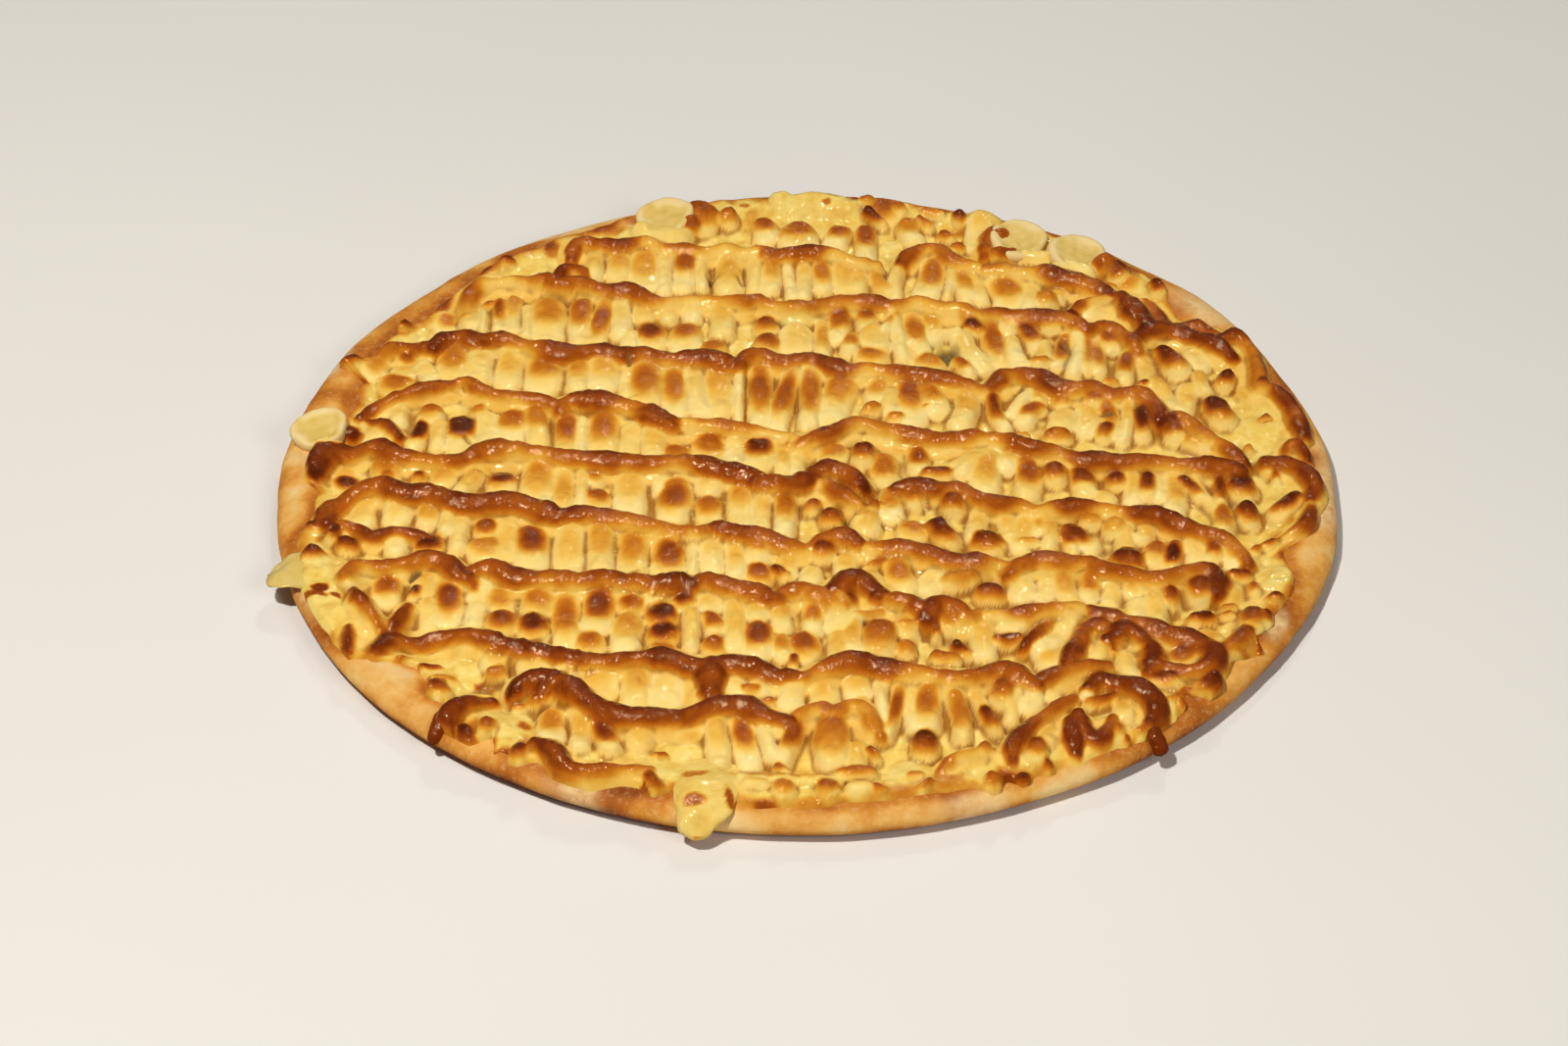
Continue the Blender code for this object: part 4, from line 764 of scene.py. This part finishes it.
    def lay_rope(self, path, radius, dark, seed):
        """Lay one browned rope, round on top and steep at its sides."""
        near, places, gone, away = self.beside(path, 2.4 * radius)
        line = np.column_stack([gone, np.full(len(gone), seed * SEED_STEP), np.zeros(len(gone))])
        knots = np.clip(lumps(line, (1.5, 12, 7)), -1.0, 1.0)
        half = radius * (1.04 + 0.15 * knots + lumps(line, (0.14, 8, 1), (0.12, 4.5, 2)))
        half *= 0.72 + 0.28 * smooth(0.0, 1.5 * radius, np.minimum(gone, travelled(path)[-1] - gone))
        across = np.abs(away) / half
        lift = np.maximum(0.80 * self.strip[near], 0.6 * MM) + MM * lumps(line, (0.45, 12, 3))
        dome = half * np.sqrt(np.clip(1.0 - across ** 2, 0.0, 1.0))
        height = self.base[near] + lift + dome - 3.2 * half * np.clip(across - 1.0, 0.0, 1.0)
        gain = self.raise_to(near, height, ROPE_BLEND)
        step = np.gradient(path, axis=0)
        spot = np.clip(np.searchsorted(travelled(path), gone), 0, len(path) - 1)
        along = step[spot] / (np.linalg.norm(step[spot], axis=1)[:, None] + TINY)
        back = away / half * along[:, 0]                # 1 at the rear side, -1 at the front
        patch = lumps(places, (0.24, 8, 5), (0.07, 3.5, 6))
        burnt = dark + (0.74 - 0.60 * dark) * knots + lumps(line, (0.12, 5, 9))
        burnt = np.clip(burnt, 0.15, 1.0)
        limit = 0.30 - 1.48 * burnt - 0.35 * np.abs(along[:, 1])
        mask = smooth(limit - 0.60, limit + 0.45, back + patch) * smooth(1.5, 1.1, across)
        depth = 0.74 + 0.26 * smooth(-0.8, 0.6, back + 0.6 * patch)
        pale = 0.15 + 0.15 * smooth(-1.0, 0.2, back) + 0.15 * patch
        heat = pale + ((0.28 + 0.65 * burnt) * depth * (1.0 + 0.25 * patch) - pale) * mask
        self.paint(near, smooth(-0.3 * ROPE_BLEND, 0.4 * ROPE_BLEND, gain), heat, 0.0)

    def sink(self, *oval, depth, grey):
        """Press one hollow into the layer."""
        share = oval_share(self.x, self.y, *oval) + lumps(self.flat, (0.25, 2.5, 8))
        press = smooth(1.15, 0.6, share)
        self.z = np.maximum(self.z - depth * MM * press, BASE_HEIGHT + 0.4 * MM)
        # Painted shade: the pressed hollow is greyed.
        self.hollow = np.maximum(self.hollow, grey / 100 * press)

    def make_room(self, centre, radius):
        """Lower the layer under a slice."""
        away = np.hypot(self.x - centre[0], self.y - centre[1])
        low = centre[2] - 1.0 * MM + 6 * MM * smooth(0.9 * radius, 1.1 * radius, away)
        self.z = np.minimum(self.z, np.maximum(low, BASE_HEIGHT))

    @staticmethod
    def mean(values, cells):
        """Mean of grid values over a square of cells each way."""
        grid = np.pad(values.reshape(GRID, GRID), cells, mode="edge")
        size = 2 * cells + 1
        for _ in range(2):
            total = np.insert(np.cumsum(grid, axis=0), 0, 0.0, axis=0)
            grid = ((total[size:] - total[:-size]) / size).T
        return grid.ravel()

    def finish(self, material):
        """Soften the layer, give it its grain and make it as closed bands."""
        grain = lumps(self.flat, (0.30, 2.8, 13), (0.20, 1.6, 14))
        grain *= smooth(0.25, 0.55, self.brown) * (1.0 - self.melted)
        wrinkle = lumps(self.flat, (0.46, 5, 15), (0.30, 2.2, 16))
        grain += wrinkle * self.melted * smooth(1.0 * MM, 4 * MM, self.inside)
        near = self.mean(self.z, 1)
        slope = np.hypot(*np.gradient(near.reshape(GRID, GRID))).ravel()
        steep = smooth(0.25 * MM, 0.7 * MM, slope)
        soft = 0.5 * (self.z + near)
        soft += 0.6 * steep * (self.mean(near, 1) - soft) + grain * MM * (1.0 - 0.7 * steep)
        # Painted shade: points sunk below their neighbours, in creases and between strips, are darkened.
        sunk = self.mean(self.z, 4) - 0.7 * self.z - 0.3 * near
        painted_shade_and_flour = smooth(0.32 * MM, 1.5 * MM, sunk) * smooth(1.0 * MM, 5 * MM, self.inside)
        brown = self.mean(self.brown, 1)
        brown += steep * (self.mean(brown, 1) - brown)
        brown += 0.10 * smooth(0.0, 1.0 * MM, -sunk) * (brown > 0.2)
        brown += (stained(self.x, self.y, brown) - brown) * (self.melted > 0.3)
        marks = np.column_stack([brown, painted_shade_and_flour, self.mean(self.melted, 1), self.hollow])
        points = np.column_stack([self.x, self.y, soft])
        grid = points.reshape(GRID, GRID, 3)
        normal = np.cross(np.gradient(grid, axis=1), np.gradient(grid, axis=0)).reshape(-1, 3)
        normal /= np.linalg.norm(normal, axis=1)[:, None] + TINY
        cuts = np.linspace(0, GRID - 1, BANDS + 1).round().astype(int)
        for number, (first, last) in enumerate(zip(cuts, cuts[1:]), 1):
            pick = slice(first * GRID, (last + 1) * GRID)
            self.band("melted_layer_" + str(number), material, points[pick], marks[pick], normal[pick])

    @staticmethod
    def band(name, material, points, marks, normal):
        """Make one band of the layer, closed below inside the dough."""
        index = np.arange(len(points)).reshape(-1, GRID)
        quads = np.stack([index[:-1, :-1], index[:-1, 1:], index[1:, 1:], index[1:, :-1]], -1)
        ring = np.concatenate([index[0, :-1], index[:-1, -1], index[-1, :0:-1], index[:0:-1, 0]])
        foot = points[ring].copy()
        foot[:, 2] = FOOT_HEIGHT
        low = index.size + np.arange(len(ring))
        ahead = np.roll(low, -1)
        wall = np.column_stack([ring, low, ahead, np.roll(ring, -1)])
        floor = np.column_stack([ahead, low, np.full(len(ring), index.size + len(ring))])
        added = len(ring) + 1
        make_piece(name, material, ("cheese",), np.vstack([points, foot, foot.mean(0)]),
                   [quads.reshape(-1, 4), wall, floor], np.vstack([marks, np.zeros((added, 4))]),
                   np.vstack([normal, np.tile((0.0, 0.0, -1.0), (added, 1))]))


def strip_ends(x, rear, front, width, dark, at=50, shift=0):
    """Ends, width in mm, darkness and browned place of a strip; its row may lack the last two."""
    return np.array((x, rear)) * MM, np.array((x + shift, front)) * MM, width, dark / 100, at / 100


def lay_strips(relief):
    """Lay the soft strips, a little uneven in height and bent a little."""
    chance = random.Random(41)
    for number, row in enumerate(STRIPS):
        start, end, width, dark, at = strip_ends(*row)
        long = np.hypot(*(end - start))
        east, north = (end - start) / long
        middle = 0.5 * (start + end)
        wild = float(smooth(5 * MM, 45 * MM, middle[0]))    # the right side is the uneven one
        half = 0.55 * width * MM * chance.uniform(0.94 - 0.10 * wild, 1.06 + 0.16 * wild)
        lean = math.radians(chance.uniform(-3 - 13 * wild, 3 + 13 * wild))
        way = np.array([east * math.cos(lean) - north * math.sin(lean),
                        east * math.sin(lean) + north * math.cos(lean)])
        tip = way * (0.5 * long - min(half, 0.42 * long))
        sideways = chance.uniform(-0.5 - 0.7 * wild, 0.5 + 0.7 * wild) * MM
        bent = middle + np.array([-way[1], way[0]]) * sideways
        path = bend_through([middle - tip, bent, middle + tip], 2 * MM)
        rise = max(float(layer_top(*bent)[1]), 1.2 * MM) * chance.uniform(0.85, 1.15)
        relief.lay(path, half, rise, dark, at, 0.36, blend=0.5 * MM, seed=number,
                   tint=chance.uniform(-0.05, 0.08), lean=0.2, gold=chance.uniform(0.05, 0.16))


def lay_ovals(relief):
    """Lay the mounds, each browned on its top."""
    for number, (x, y, length, width, turn, dark) in enumerate(OVALS, 500):
        strip = float(layer_top(x * MM, y * MM)[1])
        rise = max(strip, 1.5 * MM) * 0.8 + 0.30 * min(width, 9) * MM
        relief.lay(oval_path(x, y, length, width, turn), 0.5 * width * MM, rise, 0.76 * dark / 100,
                   0.5, 0.5, power=2.1, seed=number, tint=0.04, even=0.55, lean=0.38, gold=0.10)


def lay_swellings(relief):
    """Lay the molten swellings near the rim."""
    for number, (x, y, length, width, turn, rise) in enumerate(SWELLINGS, 700):
        relief.lay(oval_path(x, y, length, width, turn), 0.5 * min(length, width) * MM, rise * MM,
                   0.0, power=1.9, blend=2 * MM, seed=number, melted=1.0, tint=0.13)


def lap_slices(relief):
    """Make room for the slices and lap the melt over their near sides."""
    for node, radius, *_ in SLICES:
        relief.make_room(middle_of(node), radius)
    for number, (x, y, length, width, turn, rise, dark) in enumerate(LAPS, 800):
        relief.lay(oval_path(x, y, length, width, turn), 0.5 * width * MM, rise * MM, dark / 100,
                   reach=0.5, power=2.1, blend=1.2 * MM, seed=number, melted=0.4 * (dark < 30),
                   tint=0.05, even=0.6)


def lay_beds(relief, ropes):
    """Raise a soft bed under each rope, which fills the gaps before the strips."""
    for number, (radius, _, path) in enumerate(ropes, 900):
        trimmed = path[2:-2] if len(path) > 8 else path
        relief.lay(trimmed, 1.85 * radius, 0.15 * radius, 0.0, power=2.2, blend=1.2 * MM,
                   seed=number, tint=0.20, follow=0.86)


def rope_paths():
    """Radius, darkness and path of every rope, in metres; neighbours in a row are joined."""
    ropes = []
    for row in ROWS + tuple((stray,) for stray in STRAYS):
        for (radius, dark, *places), follower in zip(row, row[1:] + (None,)):
            if follower and math.dist(places[-2:], follower[2:4]) < JOIN_GAP:
                places += follower[2:4]
            path = bend_through(np.reshape(places, (-1, 2)) * MM, 1.8 * MM)
            ropes.append((radius * MM, dark / 100, path))
    return ropes


def hang_runs(material):
    """Sweep the runs that hang over the crust's edge."""
    for number, (name, dark, melted, rough, grey, sections) in enumerate(RUNS):
        rows = bend_through(np.array(sections) * MM, 0.7 * MM)
        ends = drawn_in(travelled(rows[:, :3]), 0.8 * rows[-1, 3])
        points, faces, outward = sweep(rows[:, :3], rows[:, 3] * ends, rows[:, 4] * ends)
        points += outward * MM * lumps(points, (rough, 4.5, number))[:, None]
        points += outward * MM * lumps(points, (0.30, 1.9, 9))[:, None]
        patch = lumps(points, (0.5, 5, 6), (0.3, 2, 7))
        brown = (0.10 + 0.10 * patch) * (dark < 50) + dark / 100 * (0.90 + 0.16 * patch)
        if melted:
            brown = stained(points[:, 0], points[:, 1], brown)
        # Painted shade: the runs are darkened where their surface faces down.
        painted_shade_and_flour = smooth(0.2, -0.7, outward[:, 2])
        marks = np.column_stack([brown, painted_shade_and_flour, 0 * painted_shade_and_flour + melted / 100, 0 * painted_shade_and_flour + grey / 100])
        make_piece("melt_" + name, material, ("cheese",), points, faces, marks)


# ---------------------------------------------------------------- crust and slices

def make_crust(material):
    """Turn the crust with a slightly uneven, floury surface."""
    inner = np.concatenate([np.linspace(0.02, COVERED_RADIUS, 6),
                            np.linspace(COVERED_RADIUS + 3 * MM, CREST_RADIUS, 22)[:-1]])
    turns = np.linspace(0.5 * math.pi, -0.5 * math.pi, 27)
    radii = np.concatenate([inner, CREST_RADIUS + EDGE_ROUND * np.cos(turns), [0.158, 0.120, 0.06]])
    heights = np.concatenate([dough_top(inner), 0.5 * RIM_HEIGHT * (1.0 + np.sin(turns)), np.zeros(3)])
    angle = np.linspace(0.0, 2 * math.pi, CRUST_SIDES, endpoint=False)
    points, faces = turned(radii, heights, swell(angle), BASE_HEIGHT, 0.0)
    bared = smooth(COVERED_RADIUS, COVERED_RADIUS + 10 * MM, np.hypot(*points[:, :2].T))
    raised = smooth(0.0, 3 * MM, points[:, 2]) * bared
    outward = np.column_stack([points[:, :2], np.full(len(points), 0.10)])
    outward /= np.linalg.norm(outward, axis=1)[:, None]
    rough = lumps(points, (0.35, 22, 1), (0.24, 8, 2), (0.10, 3.2, 9)) - 0.1
    points += outward * (0.8 * MM * rough * raised)[:, None]
    x, y, z = points.T
    # Darker towards the bottom of the rim: partly baked brown, partly painted shade.
    brown = 0.46 + lumps(points, (0.42, 26, 3), (0.24, 9, 4)) + 0.38 * smooth(0.0060, 0.0015, z)
    flour = np.zeros(len(points))
    for turn, radius, length, width in FLOUR:
        spot = math.radians(turn)
        share = oval_share(x, y, radius * math.cos(spot), radius * math.sin(spot), length, width, turn + 90)
        flour = np.maximum(flour, smooth(1.3, 0.3, share + lumps(points, (0.5, 7, 8))))
    flour *= smooth(0.0015, 0.004, z)
    bare = np.hypot(x, y) - edge_radius(MELT_EDGE, np.arctan2(y, x))
    oily = smooth(5 * MM, 0.5 * MM, bare + MM * lumps(points, (1.5, 8, 5)))
    make_piece("crust_skin", material, ("crust",), points, faces,
               np.column_stack([brown + 0.25 * oily, flour, oily, 0 * oily]))


def middle_of(node):
    """Middle of a CAD node's box."""
    low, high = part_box(node)
    return 0.5 * (np.array(low) + np.array(high))


def palm_slice(node, radius, height, tilt_x, tilt_y, turn, material):
    """Make one slice with a raised ring round a sunken, lumpy middle."""
    centre = middle_of(node)
    half = 0.5 * height
    shares, heights = np.transpose(SLICE_SECTION)
    angle = np.linspace(0.0, 2 * math.pi, SLICE_SIDES, endpoint=False)
    wave = 1.0 + 0.035 * np.sin(2 * angle + turn) + 0.03 * np.sin(3 * angle) + 0.02 * np.sin(5 * angle)
    points, faces = turned(shares * radius, heights * half, wave, 0.55 * half, -half)
    uneven = lumps(points + centre, (0.30, 4, 3), (0.16, 1.8, 4))
    points += MM * uneven[:, None] * np.array([0.4, 0.4, 1.0])
    away = np.hypot(points[:, 0], points[:, 1]) / radius
    ring = 0.7 * smooth(0.5, 0.95, away + lumps(points, (0.2, 4, 5))) + 0.3
    ring += lumps(points + centre, (0.35, 2.6, 6))
    tilt = Euler([math.radians(value) for value in (tilt_x, tilt_y, turn)]).to_matrix()
    make_piece(node + "_skin", material, (node,), points @ np.array(tilt).T + centre,
               faces, np.column_stack([ring, np.zeros((len(points), 3))]))


# ---------------------------------------------------------------- materials

class Nodes:
    """Short calls for building one material's node tree."""

    def __init__(self, name):
        self.material = bpy.data.materials.new(name)
        self.material.use_nodes = True
        self.tree = self.material.node_tree
        self.shader = self.tree.nodes["Principled BSDF"]

    def add(self, kind, inputs, output=0, **settings):
        """Add a node, fill its inputs and return one output."""
        node = self.tree.nodes.new(kind)
        for key, value in settings.items():
            setattr(node, key, value)
        for key, value in inputs.items():
            self.fill(node.inputs[key], value)
        return node.outputs[output]

    def fill(self, socket, value):
        """Link a socket to another, or set its constant."""
        if isinstance(value, bpy.types.NodeSocket):
            self.tree.links.new(value, socket)
        else:
            socket.default_value = value

    def shade(self, inputs):
        """Fill the shader's own sockets, given by name."""
        for key, value in inputs.items():
            self.fill(self.shader.inputs[key], value)
        return self.material

    def noise(self, scale, detail=2.0, rough=0.5):
        """Noise from 0 to 1 that is fixed to the object."""
        place = self.add("ShaderNodeTexCoord", {}, "Object")
        return self.add("ShaderNodeTexNoise", {"Vector": place, "Scale": scale, "Detail": detail,
                                               "Roughness": rough}, "Fac")

    def maths(self, operation, first, second):
        """Sum, product or the like of two values."""
        return self.add("ShaderNodeMath", {0: first, 1: second}, operation=operation)

    def sway(self, amount, *noise):
        """Noise round zero, times an amount."""
        return self.maths("MULTIPLY", self.maths("SUBTRACT", self.noise(*noise), 0.5), amount)

    def spread(self, value, low, high, to_low=0.0, to_high=1.0):
        """Stretch a value's range from low to high onto another one."""
        return self.add("ShaderNodeMapRange", dict(enumerate((value, low, high, to_low, to_high))))

    def attribute(self, name, factor=None):
        """One of the marks of the piece, times a factor if there is one."""
        value = self.add("ShaderNodeAttribute", {}, "Fac", attribute_name=name)
        return value if factor is None else self.maths("MULTIPLY", value, factor)

    def ramp(self, value, *stops):
        """Colours along a value; each stop is a place and the red, green and blue of sRGB."""
        colour = self.add("ShaderNodeValToRGB", {"Fac": value}, "Color")
        elements = colour.node.color_ramp.elements
        for number, (place, *shades) in enumerate(stops):
            spot = elements[number] if number < 2 else elements.new(place)
            spot.position = place
            spot.color = linear(*shades)
        return colour

    def mix(self, share, first, second):
        """Colour between two others."""
        return self.add("ShaderNodeMix", {"Factor": share, "A": first, "B": second}, "Result",
                        data_type="RGBA")

    def bump(self, height, strength, distance, **under):
        """Normal of small bumps, on top of the bumps under them if there are any."""
        return self.add("ShaderNodeBump", {"Strength": strength, "Distance": distance,
                                           "Height": height, **under})


def linear(*shades):
    """Linear colour with its alpha of an sRGB colour given in steps of 255."""
    return *((c / 255 / 12.92) if c <= 10 else ((c / 255 + 0.055) / 1.055) ** 2.4 for c in shades), 1.0


def cheese_material():
    """Cheese that turns from cream to dark brown, glossier where it is brown."""
    nodes = Nodes("browned_cheese")
    speckled = nodes.maths("ADD", nodes.sway(0.09, 420, 3.0, 0.6), nodes.sway(0.14, 95, 2.0))
    heat = nodes.maths("ADD", nodes.attribute("brown"), speckled)
    piped = nodes.ramp(heat, (0.00, 253, 229, 154), (0.14, 248, 213, 118), (0.30, 236, 183, 74),
                       (0.48, 213, 135, 34), (0.66, 176, 89, 18), (0.84, 124, 50, 9), (1.00, 86, 30, 6))
    hazy = nodes.maths("ADD", heat, nodes.sway(0.62, 170, 4.0, 0.65))
    molten = nodes.ramp(hazy, (0.00, 250, 228, 142), (0.14, 242, 210, 108), (0.28, 228, 182, 78),
                        (0.42, 210, 146, 52), (0.60, 178, 92, 26), (0.85, 122, 52, 10))
    colour = nodes.mix(nodes.attribute("melted", 0.9), piped, molten)
    # Painted shade: creases of the layer and undersides of the runs take a dark brown.
    colour = nodes.mix(nodes.attribute("painted_shade_and_flour", 0.85), colour, linear(160, 96, 24))
    # Painted shade in the hollows of the layer; on the runs the same mark is an even grey tint.
    colour = nodes.mix(nodes.attribute("hollow"), colour, linear(122, 108, 70))
    grain = nodes.bump(nodes.noise(880, 2.0, 0.55), nodes.spread(heat, 0.22, 0.5, 0.06, 0.55), 0.0007)
    wet = nodes.attribute("melted", 0.35)
    uneven = nodes.maths("MAXIMUM", nodes.spread(heat, 0.2, 0.6, 0.14, 0.45), wet)
    return nodes.shade({
        "Base Color": colour,
        "Roughness": nodes.spread(nodes.noise(700), 0.35, 0.65, 0.10, 0.17),
        "Normal": nodes.bump(nodes.noise(330), uneven, 0.0010, Normal=grain),
        "Subsurface Weight": 0.20,
        "Subsurface Radius": (1.0, 0.62, 0.28),
        "Subsurface Scale": 0.003,
        "Specular IOR Level": nodes.maths(
            "MAXIMUM", nodes.spread(nodes.attribute("melted"), 0.0, 1.0, 0.20, 0.50),
            nodes.spread(heat, 0.28, 0.55, 0.22, 0.56)),
        "Specular Tint": (1.0, 0.74, 0.46, 1.0),
    })


def crust_material():
    """Baked dough: golden, with pale floury patches."""
    nodes = Nodes("baked_dough")
    heat = nodes.maths("ADD", nodes.attribute("brown"), nodes.sway(0.70, 110, 5.0, 0.65))
    baked = nodes.ramp(heat, (0.10, 240, 206, 140), (0.34, 231, 174, 88), (0.52, 214, 142, 52),
                       (0.74, 182, 104, 32), (1.00, 138, 68, 20))
    dust = nodes.spread(nodes.noise(520, 4.0, 0.7), 0.52, 0.70, 0.0, 0.34)
    powder = nodes.spread(nodes.noise(300, 4.0, 0.7), 0.30, 0.62, 0.35, 0.95)
    flour = nodes.maths("MAXIMUM", dust, nodes.attribute("painted_shade_and_flour", powder))
    pores = nodes.bump(nodes.noise(900, 4.0, 0.65), 0.55, 0.0005)
    return nodes.shade({
        "Base Color": nodes.mix(flour, baked, linear(238, 204, 146)),
        "Roughness": nodes.spread(nodes.attribute("melted"), 0.0, 1.0, 0.60, 0.42),
        "Specular IOR Level": 0.15,
        "Normal": nodes.bump(nodes.noise(240, 3.0), 0.55, 0.001, Normal=pores),
        "Subsurface Weight": 0.05,
        "Subsurface Scale": 0.002,
    })


def palm_material():
    """Moist palm heart: whiter at its ring."""
    nodes = Nodes("palm_heart")
    return nodes.shade({
        "Base Color": nodes.ramp(nodes.attribute("brown"), (0.0, 216, 182, 88), (0.5, 230, 200, 116),
                                 (1.0, 240, 214, 152)),
        "Roughness": nodes.spread(nodes.noise(300), 0.3, 0.7, 0.3, 0.45),
        "Normal": nodes.bump(nodes.noise(700, 3.0), 0.3, 0.0004),
        "Subsurface Weight": 0.08,
        "Subsurface Scale": 0.002,
        "Specular IOR Level": 0.25,
    })


# ---------------------------------------------------------------- stage

def stage():
    """Floor, lights and camera."""
    scene = bpy.context.scene
    bpy.ops.mesh.primitive_plane_add(size=8.0, location=(0, 0, 0))
    floor = bpy.context.object
    floor.name = "floor"
    floor.visible_glossy = False
    nodes = Nodes("pale_floor")
    shade = nodes.spread(nodes.noise(3.0), 0.3, 0.7)
    colour = nodes.mix(shade, (0.80, 0.79, 0.77, 1.0), (0.83, 0.82, 0.80, 1.0))
    floor.data.materials.append(nodes.shade({"Base Color": colour, "Roughness": 0.7}))

    scene.world = bpy.data.worlds.new("studio")
    scene.world.use_nodes = True
    background = scene.world.node_tree.nodes["Background"].inputs
    background["Color"].default_value = (1.0, 0.95, 0.87, 1.0)
    background["Strength"].default_value = 0.07

    for name, place, size, power, tint in LAMPS:
        lamp = bpy.data.lights.new(name, "AREA")
        lamp.size, lamp.energy, lamp.color = size, power, tint
        holder = bpy.data.objects.new(name, lamp)
        holder.location = place
        holder.visible_glossy = name in ("key", "glint")
        holder.rotation_euler = (-Vector(place)).to_track_quat("-Z", "Y").to_euler()
        scene.collection.objects.link(holder)

    scene.view_settings.view_transform = "Standard"
    lens = bpy.data.cameras.new("camera")
    lens.sensor_width, lens.lens, lens.clip_start = 36.0, FOCAL_LENGTH, 0.05
    camera = bpy.data.objects.new("camera", lens)
    aim = Vector(CAMERA_AIM)
    lift = math.radians(CAMERA_ELEVATION)
    camera.location = aim + CAMERA_DISTANCE * Vector((0, -math.cos(lift), math.sin(lift)))
    camera.rotation_euler = (aim - camera.location).to_track_quat("-Z", "Y").to_euler()
    scene.collection.objects.link(camera)
    scene.camera = camera


def build():
    """Make every piece of the pizza."""
    make_crust(crust_material())

    cheese = cheese_material()
    ropes = rope_paths()
    drops = [(np.array([[x, y]]) * MM, 0.5 * min(length, width) * MM)
             for x, y, length, width, _, _ in OVALS]
    relief = Relief([(path, radius) for radius, _, path in ropes] + drops)
    lay_swellings(relief)
    lay_strips(relief)
    lay_beds(relief, ropes)
    lay_ovals(relief)
    for number, (radius, dark, path) in enumerate(ropes):
        relief.lay_rope(path, radius, dark, number)
    for *oval, depth, grey in HOLLOWS:
        relief.sink(*oval, depth=depth, grey=grey)
    lap_slices(relief)
    relief.finish(cheese)
    hang_runs(cheese)

    palm = palm_material()
    for row in SLICES:
        palm_slice(*row, palm)


build()
stage()
